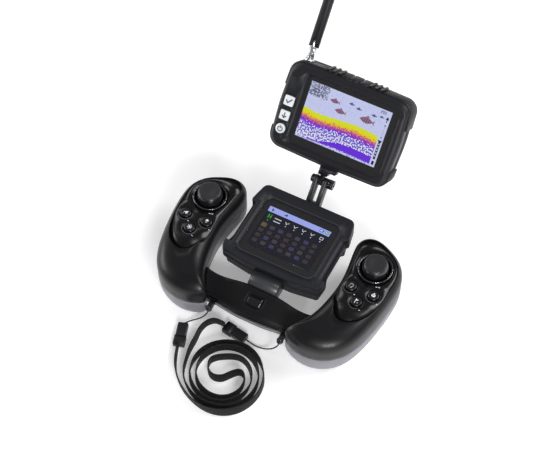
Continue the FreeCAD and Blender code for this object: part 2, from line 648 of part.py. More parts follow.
def power_plane(rise):
    """Slab above the bridge's sloping top, raised by rise."""
    x, back_y, back_z, front_y, front_z = BRIDGE_SECTIONS[0]
    slope = (back_z - front_z) / ((back_y - 1.8) - (front_y + 2.0))
    z_at = lambda y: back_z + (y - (back_y - 1.8)) * slope + rise
    return profile_x([(-FAR, z_at(-FAR)), (FAR, z_at(FAR)), (FAR, 2 * FAR), (-FAR, 2 * FAR)],
                     -FAR, FAR)


def power_button():
    low = bridge_roof_z()
    half_w, half_l = POWER_W / 2, POWER_L / 2
    cap = tile(-half_w, half_w, POWER_Y - half_l, POWER_Y + half_l, low, FACE_Z, 1.2)
    cap = cap.cut(power_plane(POWER_RISE))
    rim = tile(-half_w - POWER_RIM, half_w + POWER_RIM, POWER_Y - half_l - POWER_RIM,
               POWER_Y + half_l + POWER_RIM, low - FLANGE_T, low)
    return cap.fuse(rim)


def bridge_shells(grips):
    solid = bridge_solid()
    for grip in grips:
        solid = solid.cut(grip)
    solid = solid.cut(neck_room())
    hollow = bridge_hollow()
    top = solid.common(above(BRIDGE_PARTING_Z)).cut(hollow)
    bottom = solid.common(below(BRIDGE_PARTING_Z)).cut(hollow)
    half_w, half_l = POWER_W / 2 + SLIP, POWER_L / 2 + SLIP
    top = top.cut(tile(-half_w, half_w, POWER_Y - half_l, POWER_Y + half_l, 0, FACE_Z, 1.2 + SLIP))
    pad_top = bridge_roof_z() - FLANGE_T - TRAVEL - SWITCH_GAP
    pad = tile(-PAD_HALF, PAD_HALF, POWER_Y - PAD_HALF, POWER_Y + PAD_HALF,
               BRIDGE_BOTTOM_Z + WALL, pad_top)
    return top, bottom.fuse(pad)


def lanyard_eyelets():
    """Rings for the cords' hooks, on short arms from the bridge's front."""
    eyelets = []
    front_y = max(section[3] for section in BRIDGE_SECTIONS) - BRIDGE_NOSE
    half = EYE_R - EYE_NARROW
    for x in (-EYE_X, EYE_X):
        lug = pipe(Vector(x, EYE_Y, EYE_Z - EYE_T), UP, EYE_R, EYE_HOLE_R, EYE_T)
        arm = tile(x - half, x + half, EYE_Y + (EYE_R + EYE_HOLE_R) / 2, front_y + EYE_ROOT,
                   EYE_Z - EYE_T, EYE_Z)
        eyelets.append(lug.fuse(arm))
    return eyelets


def neck_room():
    return tile(-NECK_W / 2, NECK_W / 2, NECK_FRONT_Y, 0, 0, FACE_Z)


# ================= fork arm and pivot =================

def pivot():
    return Vector(0, PIVOT_Y, PIVOT_Z)


def fork_arm():
    """Two prongs that rise from a foot on the display's top edge to the finder's pivot."""
    foot_y = BEZEL_RIGHT[0][1]
    start = Vector(0, foot_y + ARM_FOOT_T - 0.5, ARM_FOOT_Z + 1.5)
    end = pivot()
    along = (end - start).normalize()
    across = Vector(0, -along.z, along.y)
    h = ARM_H / 2
    corners = [start - across * h, end - across * h, end + across * h, start + across * h]
    face = Part.Face(Part.makePolygon([c - RIGHT * (ARM_W / 2) for c in corners + corners[:1]]))
    arm = face.extrude(RIGHT * ARM_W)
    arm = arm.fuse(rod(end - RIGHT * (ARM_W / 2), RIGHT, h, ARM_W))
    foot = tile(-ARM_FOOT_W / 2, ARM_FOOT_W / 2, foot_y, foot_y + ARM_FOOT_T,
                ARM_FOOT_Z - ARM_FOOT_H / 2, ARM_FOOT_Z + ARM_FOOT_H / 2)
    arm = arm.fuse(foot)
    gap = ARM_W / 2 - PRONG_T
    slot_start = start + along * ARM_SLOT_BACK
    reach = (end - slot_start).Length + 3 * h
    lo = Part.Face(Part.makePolygon([slot_start - across * 2 * h - RIGHT * gap,
                                     slot_start + along * reach - across * 2 * h - RIGHT * gap,
                                     slot_start + along * reach + across * 2 * h - RIGHT * gap,
                                     slot_start + across * 2 * h - RIGHT * gap,
                                     slot_start - across * 2 * h - RIGHT * gap]))
    arm = arm.cut(lo.extrude(RIGHT * 2 * gap))
    arm = arm.cut(rod(end - RIGHT * ARM_W, RIGHT, PIVOT_R + RUN, 2 * ARM_W))
    return arm


def pivot_screw():
    half = ARM_W / 2
    length = ARM_W + KNOB_T - SCREW_END
    shank = rod(pivot() - RIGHT * half, RIGHT, PIVOT_R, length)
    head = rod(pivot() - RIGHT * (half + HEAD_T), RIGHT, HEAD_R, HEAD_T)
    head = head.makeFillet(HEAD_ROUND, [e for e in head.Edges
                           if abs(e.BoundBox.XMax + half + HEAD_T) < 1e-4])
    socket = rod(pivot() - RIGHT * (half + HEAD_T), RIGHT, HEX_R, HEX_DEPTH)
    return shank.fuse(head).cut(socket)


def pivot_knob():
    start = pivot() + RIGHT * (ARM_W / 2 + SEAM)
    knob = rod(start, RIGHT, KNOB_R, KNOB_T)
    for i in range(KNOB_LOBES):
        angle = 2 * math.pi * i / KNOB_LOBES
        centre = start + Vector(0, math.cos(angle), math.sin(angle)) * (KNOB_R + LOBE_OUT)
        knob = knob.cut(rod(centre, RIGHT, LOBE_R, KNOB_T))
    return knob.cut(rod(start, RIGHT, PIVOT_R + RUN, KNOB_T))


def pivot_washers():
    gap = ARM_W / 2 - PRONG_T
    washers = []
    for side in (-1, 1):
        x0 = -gap if side < 0 else gap - WASHER_T
        washers.append(pipe(pivot() + RIGHT * x0, RIGHT, WASHER_R, PIVOT_R + RUN, WASHER_T))
    return Part.makeCompound(washers)


# ================= finder =================
# Built upright: X across, Z up the screen from the pivot, and -Y out of the screen.

def finder_outline(inset):
    half = FINDER_W / 2 - inset
    low, high = FINDER_BOTTOM + inset, FINDER_BOTTOM + FINDER_H - inset
    mid = (low + high) / 2
    r = max(FINDER_CORNER - inset, 1.0)
    side = half - FINDER_BARREL
    return [(0.0, high, 200.0), (side, high - 1.2, r), (half, mid, 120.0), (side, low + 1.2, r),
            (0.0, low, 200.0), (-side, low + 1.2, r), (-half, mid, 120.0), (-side, high - 1.2, r)]


def upright_slab(corners, y0, y1):
    """Plate with its outline in X and Z, between two Y planes."""
    flat = slab(corners, 0.0, y1 - y0)
    flat.rotate(Vector(0, 0, 0), RIGHT, 90.0)
    flat.translate(Vector(0, y1, 0))
    return flat


def front_y():
    return -FINDER_FRONT


def back_y():
    return FINDER_T - FINDER_FRONT


def split_y():
    return front_y() + FINDER_SPLIT


def y_edge_at(y):
    return lambda e: abs(e.BoundBox.YMin - y) < 1e-4 and abs(e.BoundBox.YMax - y) < 1e-4


def bumper_zone(shape):
    """The parts of a ring round the finder that the two rubber bumpers cover."""
    top = shape.common(tile(-FAR, FAR, -FAR, FAR, FINDER_BOTTOM + BUMPER_TOP, FAR))
    bottom = shape.common(tile(-FAR, FAR, -FAR, FAR, -FAR, FINDER_BOTTOM + BUMPER_BOTTOM))
    return top, bottom


def finder_bumpers():
    y0, y1 = front_y() + BUMPER_FRONT, back_y() - BUMPER_BACK
    ring = upright_slab(finder_outline(0.0), y0, y1)
    ring = ring.makeChamfer(FRONT_CHAMFER, [e for e in ring.Edges if y_edge_at(y0)(e)])
    ring = softened(ring, 2.4, y_edge_at(y1))
    ring = ring.cut(upright_slab(finder_outline(BUMPER_T), -FAR, FAR))
    top, bottom = bumper_zone(ring)
    high = FINDER_BOTTOM + FINDER_H
    for i in range(RIB_COUNT):
        x = (i - (RIB_COUNT - 1) / 2) * RIB_PITCH
        groove = tile(x - 0.9, x + 0.9, -FAR, FAR, high - 1.7, high + 2)
        top = top.cut(groove)
    top = top.cut(rod(socket_base(), UP, SOCKET_R, FAR))
    return Part.makeCompound([top, bottom])


def glass_corners(extra):
    x1 = FINDER_W / 2 - GLASS_RIGHT + extra
    x0 = x1 - GLASS_W - 2 * extra
    z0 = FINDER_BOTTOM + GLASS_LOW - extra
    z1 = z0 + GLASS_H + 2 * extra
    r = GLASS_R + extra
    return [(x0, z0, r), (x1, z0, r), (x1, z1, r), (x0, z1, r)]


def key_outline(name, extra):
    v, w, h, r = KEYS[name]
    x0, x1 = KEY_X - w / 2 - extra, KEY_X + w / 2 + extra
    z0, z1 = SCREEN_V + v - h / 2 - extra, SCREEN_V + v + h / 2 + extra
    return [(x0, z0, r + extra), (x1, z0, r + extra), (x1, z1, r + extra), (x0, z1, r + extra)]


def finder_front():
    shell = upright_slab(finder_outline(BUMPER_T), front_y(), split_y())
    shell = shell.makeChamfer(FRONT_CHAMFER - 0.6, [e for e in shell.Edges if y_edge_at(front_y())(e)])
    room = upright_slab(finder_outline(BUMPER_T + WALL), front_y() + WALL + 1.0, split_y())
    shell = shell.cut(room)
    glass_y = front_y() + GLASS_T
    shell = shell.cut(upright_slab(glass_corners(SEAM), -FAR, glass_y))
    half_w, half_h = FINDER_LCD_W / 2 + SEAM, FINDER_LCD_H / 2 + SEAM
    shell = shell.cut(tile(SCREEN_X - half_w, SCREEN_X + half_w, -FAR, FAR,
                           SCREEN_V - half_h, SCREEN_V + half_h))
    for name in KEYS:
        shell = shell.cut(upright_slab(key_outline(name, SLIP), -FAR, FAR))
    return shell


def finder_back():
    shell = upright_slab(finder_outline(BUMPER_T), split_y(), back_y())
    shell = softened(shell, 3.4, y_edge_at(back_y()))
    shell = shell.cut(upright_slab(finder_outline(BUMPER_T + WALL), split_y(), back_y() - WALL))
    low, high = FINDER_BOTTOM + BOARD_MARGIN_V, FINDER_BOTTOM + FINDER_H - BOARD_MARGIN_V
    for sx in (-1, 1):
        x = sx * (FINDER_W / 2 - BOSS_IN)
        for z in (low + BOSS_R, high - BOSS_R):
            shell = shell.fuse(rod(Vector(x, board_back_y(), z), AWAY, BOSS_R,
                                   back_y() - WALL - board_back_y()))
    return shell


def finder_glass():
    return upright_slab(glass_corners(0.0), front_y(), front_y() + GLASS_T)


def lcd_back_y():
    return front_y() + GLASS_T + FINDER_LCD_T


def finder_lcd():
    half_w, half_h = FINDER_LCD_W / 2, FINDER_LCD_H / 2
    return tile(SCREEN_X - half_w, SCREEN_X + half_w, front_y() + GLASS_T, lcd_back_y(),
                SCREEN_V - half_h, SCREEN_V + half_h)


def key_flange_y():
    return front_y() + WALL + 1.0


def board_front_y():
    return key_flange_y() + FLANGE_T + TRAVEL + SWITCH_GAP + SWITCH_T


def board_back_y():
    return board_front_y() + BOARD_T


def finder_board():
    half = FINDER_W / 2 - BUMPER_T - WALL - FINDER_BARREL - BOARD_MARGIN
    board = tile(-half, half, board_front_y(), board_back_y(), FINDER_BOTTOM + BOARD_MARGIN_V,
                 FINDER_BOTTOM + FINDER_H - BOARD_MARGIN_V)
    for name in KEYS:
        v, half = KEYS[name][0] + SCREEN_V, SWITCH_W / 2
        board = board.fuse(tile(KEY_X - half, KEY_X + half, board_front_y() - SWITCH_T,
                                board_front_y(), v - half, v + half))
    half_w, half_h = FINDER_LCD_W / 2 - CARRIER_INSET, FINDER_LCD_H / 2 - CARRIER_INSET
    carrier = tile(SCREEN_X - half_w, SCREEN_X + half_w, lcd_back_y(), board_front_y(),
                   SCREEN_V - half_h, SCREEN_V + half_h)
    return board.fuse(carrier)


def finder_battery():
    mid = FINDER_BOTTOM + FINDER_H / 2
    return tile(-PACK_W / 2, PACK_W / 2, board_back_y(), board_back_y() + PACK_T, mid - PACK_H / 2,
                mid + PACK_H / 2)


def finder_key(name):
    y0, y1 = front_y() - KEY_RISE, key_flange_y()
    cap = upright_slab(key_outline(name, 0.0), y0, y1)
    cap = softened(cap, 0.4, y_edge_at(y0))
    flange = upright_slab(key_outline(name, 0.7), y1, y1 + FLANGE_T)
    return cap.fuse(flange)


def finder_foot():
    """Tongue on the pivot, under a block on the finder's lower wall."""
    tongue = rod(Vector(-TONGUE_T / 2, 0, 0), RIGHT, TONGUE_R, TONGUE_T)
    top = FINDER_BOTTOM + BUMPER_T + 3.4
    web = tile(-TONGUE_T / 2, TONGUE_T / 2, -TONGUE_R, TONGUE_R, 0, FOOT_BASE + 1)
    block = tile(-FOOT_W / 2, FOOT_W / 2, -FOOT_DEPTH / 2, FOOT_DEPTH / 2, FOOT_BASE, top)
    side = tile(FOOT_W / 2, FOOT_W / 2 + FOOT_SIDE, -FOOT_DEPTH / 2, FOOT_DEPTH / 2,
                FOOT_BASE + 3.6, top)
    foot = tongue.fuse([web, block, side])
    foot = foot.cut(rod(Vector(-FAR, 0, 0), RIGHT, PIVOT_R + RUN, 2 * FAR))
    wall = upright_slab(finder_outline(0.0), front_y(), back_y())
    return foot.cut(wall)


# ================= antenna =================

def socket_base():
    return Vector(SOCKET_LEFT - FINDER_W / 2, ANT_BACK, FINDER_BOTTOM + FINDER_H - SOCKET_SINK)


def antenna_socket():
    return rod(socket_base(), UP, SOCKET_R, SOCKET_T).fuse(
        rod(socket_base() + UP * SOCKET_T, UP, SPIGOT_R, SPIGOT_L))


def knuckle_centre():
    return socket_base() + UP * (SOCKET_T + SEAM + BASE_L + WHIP_R + KNUCKLE_GAP)


def antenna_base():
    """Silver swivel nut with a flat knuckle on top and the pin that carries the whip."""
    start = socket_base() + UP * (SOCKET_T + SEAM)
    nut = rod(start, UP, BASE_R, BASE_L)
    nut = nut.cut(rod(start, UP, SPIGOT_R + RUN, SPIGOT_L + SEAM))
    centre = knuckle_centre()
    knuckle = rod(centre - RIGHT * (KNUCKLE_W / 2), RIGHT, KNUCKLE_R, KNUCKLE_W)
    web = tile(centre.x - KNUCKLE_W / 2, centre.x + KNUCKLE_W / 2, centre.y - KNUCKLE_R,
               centre.y + KNUCKLE_R, start.z + BASE_L, centre.z)
    reach = WHIP_R - PIN_INSIDE
    pin = rod(centre - RIGHT * reach, RIGHT, ANT_PIN_R, 2 * reach)
    return nut.fuse([knuckle, web, pin])


def antenna_whip():
    """Rubber whip. A fork at its lower end straddles the knuckle."""
    c = knuckle_centre()
    low = c - UP * WHIP_R
    lower = rod(low, UP, WHIP_R, SLEEVE_L)
    upper = Part.makeCone(WHIP_R, WHIP_TIP_R, WHIP_L - SLEEVE_L, low + UP * SLEEVE_L, UP)
    whip = lower.fuse(upper)
    whip = softened(whip, WHIP_ROUND, flat_edge_at(low.z + WHIP_L))
    gap = KNUCKLE_W / 2 + RUN * 2
    whip = whip.cut(tile(c.x - gap, c.x + gap, c.y - 2 * WHIP_R, c.y + 2 * WHIP_R, low.z - 1,
                         low.z + FORK_DEPTH))
    whip = whip.cut(rod(c - RIGHT * WHIP_R * 2, RIGHT, ANT_PIN_R + RUN, WHIP_R * 4))
    corners = tile(c.x - WHIP_R, c.x + WHIP_R, c.y - WHIP_R, c.y + WHIP_R, low.z - 1, c.z)
    return whip.cut(corners.cut(rod(c - RIGHT * WHIP_R, RIGHT, WHIP_R, 2 * WHIP_R)))


def lean_finder(shape):
    """From upright at the origin to leaned back on the fork arm."""
    placed = shape.copy()
    placed.rotate(Vector(0, 0, 0), RIGHT, LEAN - 90.0)
    placed.translate(pivot())
    return placed


# ================= lanyard =================

def tube(name, route, radius):
    """Round tube along straight runs joined by tangent arcs, as large as the runs allow."""
    points = [Vector(*p) for p in route]
    edges, start, radii = [], points[0], []
    for i in range(1, len(points) - 1):
        back, ahead = points[i - 1] - points[i], points[i + 1] - points[i]
        turn = math.pi - back.getAngle(ahead)
        reach = 0.45 * min(back.Length, ahead.Length)
        bend = reach / math.tan(turn / 2)
        a = points[i] + Vector(back).normalize() * reach
        b = points[i] + Vector(ahead).normalize() * reach
        middle = (Vector(back).normalize() + Vector(ahead).normalize()).normalize()
        top = points[i] + middle * (bend / math.cos(turn / 2) - bend)
        edges += [Part.makeLine(start, a), Part.Arc(a, top, b).toShape()]
        start = b
        radii.append(round(bend, 1))
    edges.append(Part.makeLine(start, points[-1]))
    path = Part.Wire(edges)
    heading = points[1] - points[0]
    ring = Part.Wire([Part.Circle(points[0], heading, radius).toShape()])
    solid = path.makePipeShell([ring], True, True)
    area = math.pi * radius ** 2
    print(name, "radii", radii, "length", round(path.Length, 1),
          "volume/section", round(solid.Volume / area / path.Length, 4))
    return solid


def buckle(place, heading):
    """Side-release buckle lying flat: the socket on the cord, and the clip on the strap."""
    half = BUCKLE_W / 2 - SOCKET_INSET
    socket = tile(0, BUCKLE_L, -half, half, 0, BUCKLE_T, 1.2)
    socket = softened(socket, 0.8, flat_edge_at(BUCKLE_T))
    clip = tile(BUCKLE_L, BUCKLE_L + CLIP_L, -BUCKLE_W / 2, BUCKLE_W / 2,
                CLIP_INSET, BUCKLE_T - CLIP_INSET, 1.0)
    parts = []
    for piece in (socket, clip):
        piece.rotate(Vector(0, 0, 0), UP, heading)
        piece.translate(place)
        parts.append(piece)
    return parts


def strap_coil(ends):
    """Outer form of the strap's turns, with a seat where each loose end joins them."""
    ring = pipe(Vector(COIL_X, COIL_Y, 0), UP, COIL_R, COIL_IN_R, STRAP_W)
    return ring.cut(ends)


# ================= assembly =================

def build():
    nodes = {}
    grip = grip_solid(0.0)
    upper, lower = grip_shells(grip)
    stick_parts = {"stick_ring": stick_ring(), "gimbal_base": gimbal_base(),
                   "gimbal_yoke": gimbal_yoke(), "stick": thumb_stick(), "stick_pad": stick_pad()}
    right = {"grip_upper": upper, "grip_lower": lower, "faceplate": control_plate()}
    right.update(stick_parts)
    for name, (x, y) in BUTTON_PLACES.items():
        right[name + "_button"] = round_button(x, y)
    for name, shape in right.items():
        nodes["left_" + name] = mirrored(shape)
        nodes["right_" + name] = shape
    cell = rod(Vector(CELL_X, CELL_Y - CELL_L / 2, cell_z()), AWAY, CELL_R, CELL_L)
    screws = []
    for x, y in SCREW_PLACES:
        seat = screw_seat_z()
        screw = rod(Vector(x, y, seat - SCREW_HEAD_T), UP, SCREW_HEAD_R, SCREW_HEAD_T)
        screw = screw.fuse(rod(Vector(x, y, seat), UP, SCREW_R - RUN, GRIP_PARTING_Z - seat + 7))
        screws.append(screw)
    pairs = {"switch_boards": [switch_board()], "grip_batteries": [cell],
             "battery_doors": [door_solid(0.0)], "grip_screws": screws}
    for name, shapes in pairs.items():
        nodes[name] = Part.makeCompound(shapes + [mirrored(s) for s in shapes])

    cutter = grip_solid(-SEAM)
    top, bottom = bridge_shells([cutter, mirrored(cutter)])
    clear = [e.cut(cutter).cut(mirrored(cutter)).cut(bridge_solid()) for e in lanyard_eyelets()]
    nodes.update({"bridge_top": top, "bridge_bottom": bottom, "power_button": power_button(),
                  "neck": neck(), "lanyard_eyelets": Part.makeCompound(clear)})
    nodes.update({"display_bezel": display_bezel(), "display_housing": display_housing(),
                  "display_lens": display_lens(), "display_lcd": remote_lcd(),
                  "display_board": remote_board()})
    nodes.update({"fork_arm": fork_arm(), "pivot_screw": pivot_screw(),
                  "pivot_knob": pivot_knob(), "pivot_washers": pivot_washers()})

    leaned = {"finder_front": finder_front(), "finder_back": finder_back(),
              "finder_bumpers": finder_bumpers(), "finder_glass": finder_glass(),
              "finder_lcd": finder_lcd(), "finder_board": finder_board(),
              "finder_battery": finder_battery(), "finder_foot": finder_foot(),
              "antenna_socket": antenna_socket(), "antenna_base": antenna_base(),
              "antenna_whip": antenna_whip()}
    for name in KEYS:
        leaned[name] = finder_key(name)
    for name, shape in leaned.items():
        nodes[name] = lean_finder(shape)

    lead, tail = tube("strap_lead", LEAD, STRAP_W / 2), tube("strap_tail", TAIL, STRAP_W / 2)
    cords = {"left_cord": tube("left_cord", LEFT_CORD, CORD_R),
             "right_cord": tube("right_cord", RIGHT_CORD, CORD_R),
             "strap_lead": lead, "strap_tail": tail, "strap_coil": strap_coil([lead, tail]),
             "lanyard_buckles": Part.makeCompound(buckle(*LEFT_BUCKLE) + buckle(*RIGHT_BUCKLE))}
    return nodes, cords


def main():
    nodes, cords = build()
    whole = [s.optimalBoundingBox(False, False) for s in nodes.values()]
    low, high = min(b.YMin for b in whole), max(b.YMax for b in whole)
    shift = Vector(0, -(low + high) / 2, 0)
    print("shift", round(shift.y, 3), "x", round(min(b.XMin for b in whole), 2),
          round(max(b.XMax for b in whole), 2), "z", round(min(b.ZMin for b in whole), 2),
          round(max(b.ZMax for b in whole), 2), "y", round(low, 2), round(high, 2))
    os.makedirs("parts", exist_ok=True)
    for name, shape in {**nodes, **cords}.items():
        shape.translate(shift)
        if not shape.isValid() or not shape.Solids:
            print("CHECK", name, shape.isValid(), len(shape.Solids))
        shape.exportStep("parts/" + name + ".step")
    spots = {"pivot": pivot(), "stick": stick_centre()}
    upright = {"knuckle": knuckle_centre(), "socket": socket_base()}
    lean = FreeCAD.Rotation(RIGHT, LEAN - 90.0)
    for name, point in upright.items():
        spots[name] = lean.multVec(point) + pivot()
    for name, point in spots.items():
        print("spot", name, [round(c, 3) for c in point + shift])
    print("nodes", len(nodes) + len(cords))


main()
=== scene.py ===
import json
import math

import bmesh
import bpy
from mathutils import Matrix, Vector


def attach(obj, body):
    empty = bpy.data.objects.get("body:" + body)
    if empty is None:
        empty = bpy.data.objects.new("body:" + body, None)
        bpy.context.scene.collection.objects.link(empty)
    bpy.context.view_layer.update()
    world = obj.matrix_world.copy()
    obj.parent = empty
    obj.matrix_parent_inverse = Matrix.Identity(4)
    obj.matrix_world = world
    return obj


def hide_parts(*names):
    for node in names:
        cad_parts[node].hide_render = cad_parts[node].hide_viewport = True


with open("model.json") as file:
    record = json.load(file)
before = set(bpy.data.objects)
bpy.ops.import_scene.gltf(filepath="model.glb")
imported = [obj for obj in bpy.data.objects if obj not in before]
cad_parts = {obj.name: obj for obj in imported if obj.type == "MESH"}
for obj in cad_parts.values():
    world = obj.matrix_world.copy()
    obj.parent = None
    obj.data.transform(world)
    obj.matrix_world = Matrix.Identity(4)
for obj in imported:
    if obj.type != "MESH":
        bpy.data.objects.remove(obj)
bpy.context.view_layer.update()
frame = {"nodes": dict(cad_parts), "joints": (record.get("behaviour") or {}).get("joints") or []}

# Looks of the fish finder and its remote. Row frame, metres: X right, Y away from the user, Z up.
MM = 0.001
NODES = frame["nodes"]
JOINT = {j["name"]: j for j in frame["joints"]}
PIVOT = Vector(JOINT["finder_tilt"]["pos_m"])
PIVOT_Y = 57.9                       # pivot from under the middle of the remote's display
SHIFT = PIVOT.y - PIVOT_Y * MM       # row frame from the frame of the remote's display
LEAN = math.radians(50)
FIN_UP = Vector((0, math.cos(LEAN), math.sin(LEAN)))
FIN_OUT = Vector((0, -math.sin(LEAN), math.cos(LEAN)))
X, Y, Z = Vector((1, 0, 0)), Vector((0, 1, 0)), Vector((0, 0, 1))
scene = bpy.context.scene

# Sizes of the CAD, in millimetres.
PLATE_Z = 44.2                       # top of the control plates
BUTTON_RISE = 0.9
STICK_X, STICK_Y, STICK_Z = 76.5, 3.1, 45.2
BALL_TOP = 6.0                       # stick's flat top over its centre
FACE_Z, LENS_SINK, LENS_T = 42.0, 0.4, 1.2
FINDER_FACE, FINDER_KEY_RISE = 9.6, 0.9
CORD_R = 0.6
PRINT_T = 0.012                      # thickness of a lit shape on a screen
CORNER_STEPS, CIRCLE_STEPS = 5, 48


def at(x, y, z):
    """A point given in millimetres from under the middle of the remote's display."""
    return Vector((x * MM, y * MM + SHIFT, z * MM))


# ---------- camera ----------
cam_data = bpy.data.cameras.new("camera")
cam = bpy.data.objects.new("camera", cam_data)
scene.collection.objects.link(cam)
scene.camera = cam
cam_data.lens = 93.2
cam_data.sensor_width = 36
cam_data.clip_start, cam_data.clip_end = 0.05, 20
cam.location = at(287.5, -570.0, 1023.0)
aim = (at(-15.7, 4.1, 42.0) - cam.location).normalized()
cam.rotation_euler = (aim.to_track_quat("-Z", "Y").to_matrix().to_4x4()
                      @ Matrix.Rotation(math.radians(-0.12), 4, "Z")).to_euler()

# ---------- materials ----------


def node(tree, kind, inputs=None, **props):
    n = tree.nodes.new(kind)
    for k, v in props.items():
        setattr(n, k, v)
    for k, v in (inputs or {}).items():
        if isinstance(v, bpy.types.NodeSocket):
            tree.links.new(v, n.inputs[k])
        else:
            n.inputs[k].default_value = v
    return n


ROUGH_SPREAD = 0.08           # how far the fine grain moves a surface's roughness each way
RELIEF_DEPTH = 0.00006


def surface(name, colour, rough=0.5, metal=0.0, coat=0.0, grain=1500.0, bump=0.02, spread=0.12,
            streak=None, specular=0.5, sheen=0.0):
    """Principled surface with its own grain in colour, roughness and relief."""
    m = bpy.data.materials.new(name)
    m.use_nodes = True
    t = m.node_tree
    t.nodes.clear()
    out = node(t, "ShaderNodeOutputMaterial")
    where = node(t, "ShaderNodeTexCoord").outputs["Object"]
    if streak:
        where = node(t, "ShaderNodeMapping", {"Vector": where, "Scale": streak}).outputs[0]
    fine = node(t, "ShaderNodeTexNoise", {"Vector": where, "Scale": grain, "Detail": 3.0})
    broad = node(t, "ShaderNodeTexNoise", {"Vector": where, "Scale": 40.0, "Detail": 4.0})
    dark = [c * (1 - spread) for c in colour]
    light = [min(1.0, c * (1 + spread)) for c in colour]
    mix = t.nodes.new("ShaderNodeMix")
    mix.data_type = "RGBA"
    t.links.new(broad.outputs["Fac"], mix.inputs["Factor"])
    mix.inputs[6].default_value = (*dark, 1)
    mix.inputs[7].default_value = (*light, 1)
    rough_map = node(t, "ShaderNodeMapRange", {"Value": fine.outputs["Fac"],
                                               "To Min": max(0.02, rough - ROUGH_SPREAD),
                                               "To Max": min(1.0, rough + ROUGH_SPREAD)})
    relief = node(t, "ShaderNodeBump", {"Height": fine.outputs["Fac"], "Strength": bump * 10,
                                        "Distance": RELIEF_DEPTH})
    b = node(t, "ShaderNodeBsdfPrincipled",
             {"Base Color": mix.outputs[2], "Roughness": rough_map.outputs[0], "Metallic": metal,
              "Normal": relief.outputs[0], "Coat Weight": coat, "Coat Roughness": 0.06,
              "Specular IOR Level": specular, "Sheen Weight": sheen})
    t.links.new(b.outputs[0], out.inputs[0])
    return m


def glow(name, colour, power=1.0):
    """Lit screen colour under the window, with a fine pixel grain."""
    m = bpy.data.materials.new(name)
    m.use_nodes = True
    t = m.node_tree
    t.nodes.clear()
    out = node(t, "ShaderNodeOutputMaterial")
    where = node(t, "ShaderNodeTexCoord").outputs["Object"]
    fine = node(t, "ShaderNodeTexNoise", {"Vector": where, "Scale": 900.0, "Detail": 2.0})
    rough_map = node(t, "ShaderNodeMapRange", {"Value": fine.outputs["Fac"], "To Min": 0.86, "To Max": 1.1})
    e = node(t, "ShaderNodeEmission", {"Color": (*colour, 1)})
    scaled = node(t, "ShaderNodeMath", {0: rough_map.outputs[0], 1: power}, operation="MULTIPLY")
    t.links.new(scaled.outputs[0], e.inputs["Strength"])
    t.links.new(e.outputs[0], out.inputs[0])
    return m


SHELL = surface("shell_black", (0.0035, 0.0035, 0.0045), rough=0.40, coat=0.06, grain=2600, bump=0.010,
                specular=0.30)
GREY = surface("shell_grey", (0.21, 0.21, 0.235), rough=0.42, coat=0.1, grain=2600, bump=0.012)
PLATE = surface("plate_gloss", (0.0025, 0.0025, 0.003), rough=0.27, coat=0.12, grain=3000, bump=0.004,
                specular=0.4)
BORDER = surface("window_black", (0.0035, 0.0035, 0.004), rough=0.4, grain=3000, bump=0.004)
RING = surface("ring_dark", (0.010, 0.010, 0.012), rough=0.20, coat=0.6, grain=3000, bump=0.006)
# Chrome only for the thin lines round the stick wells: painted highlights on the black glossy ring, not real
# chrome trim.
HIGHLIGHT_CHROME = surface("ring_highlight_chrome", (0.42, 0.42, 0.45), rough=0.22, metal=1.0, grain=3000, bump=0.004)
RUBBER = surface("rubber", (0.0085, 0.0085, 0.0105), rough=0.50, grain=1800, bump=0.05, specular=0.32)
PAD = surface("stick_rubber", (0.016, 0.016, 0.019), rough=0.42, grain=1400, bump=0.09, streak=(1, 0.25, 1))
BALL = surface("stick_gloss", (0.008, 0.008, 0.010), rough=0.22, coat=0.7, grain=2600, bump=0.006)
BUTTON = surface("button_black", (0.005, 0.005, 0.006), rough=0.28, coat=0.3, grain=2600, bump=0.01)
CASE = surface("case_black", (0.0100, 0.0105, 0.0145), rough=0.48, grain=2400, bump=0.045, specular=0.32)
NECK = surface("neck_grey", (0.042, 0.043, 0.048), rough=0.36, coat=0.2, grain=2400, bump=0.02)
METAL = surface("antenna_metal", (0.74, 0.75, 0.78), rough=0.24, metal=0.9, grain=4000, bump=0.01,
                streak=(1, 1, 0.05))
BLACK_METAL = surface("black_metal", (0.030, 0.030, 0.033), rough=0.42, metal=0.5, grain=3000, bump=0.02)
STEEL = surface("zinc_screw", (0.42, 0.42, 0.44), rough=0.35, metal=1.0, grain=3500, bump=0.02)
DARK_STEEL = surface("dark_steel", (0.045, 0.045, 0.05), rough=0.35, metal=0.8, grain=3500, bump=0.02)
PCB = surface("circuit_green", (0.015, 0.10, 0.04), rough=0.5, coat=0.3, grain=900, bump=0.03)
CELL = surface("cell_sleeve", (0.05, 0.10, 0.22), rough=0.35, coat=0.3, grain=1500, bump=0.01)
FOIL = surface("pack_foil", (0.45, 0.45, 0.47), rough=0.35, metal=0.7, grain=300, bump=0.05)
KEY = surface("key_white", (0.80, 0.82, 0.86), rough=0.45, grain=2600, bump=0.02, spread=0.05)
INK = surface("key_ink", (0.02, 0.02, 0.025), rough=0.5, grain=2600, bump=0.01)
# White print for the button icons, also used for white spots that are painted highlights beside the buttons
# and the sticks.
PRINT_AND_GLINT = surface("white_print_and_glint", (0.72, 0.75, 0.82), rough=0.5, grain=2600, bump=0.01, spread=0.06)
# Grey for the arcs under the buttons: painted highlights on the glossy dish round each button.
RIM_HIGHLIGHT_GREY = surface("rim_highlight_grey", (0.13, 0.13, 0.14), rough=0.45, grain=2600, bump=0.01)
CORD = surface("cord", (0.010, 0.010, 0.011), rough=0.7, grain=2600, bump=0.09, sheen=0.3)
BUCKLE = surface("buckle_black", (0.010, 0.010, 0.012), rough=0.36, coat=0.1, grain=2600, bump=0.015)


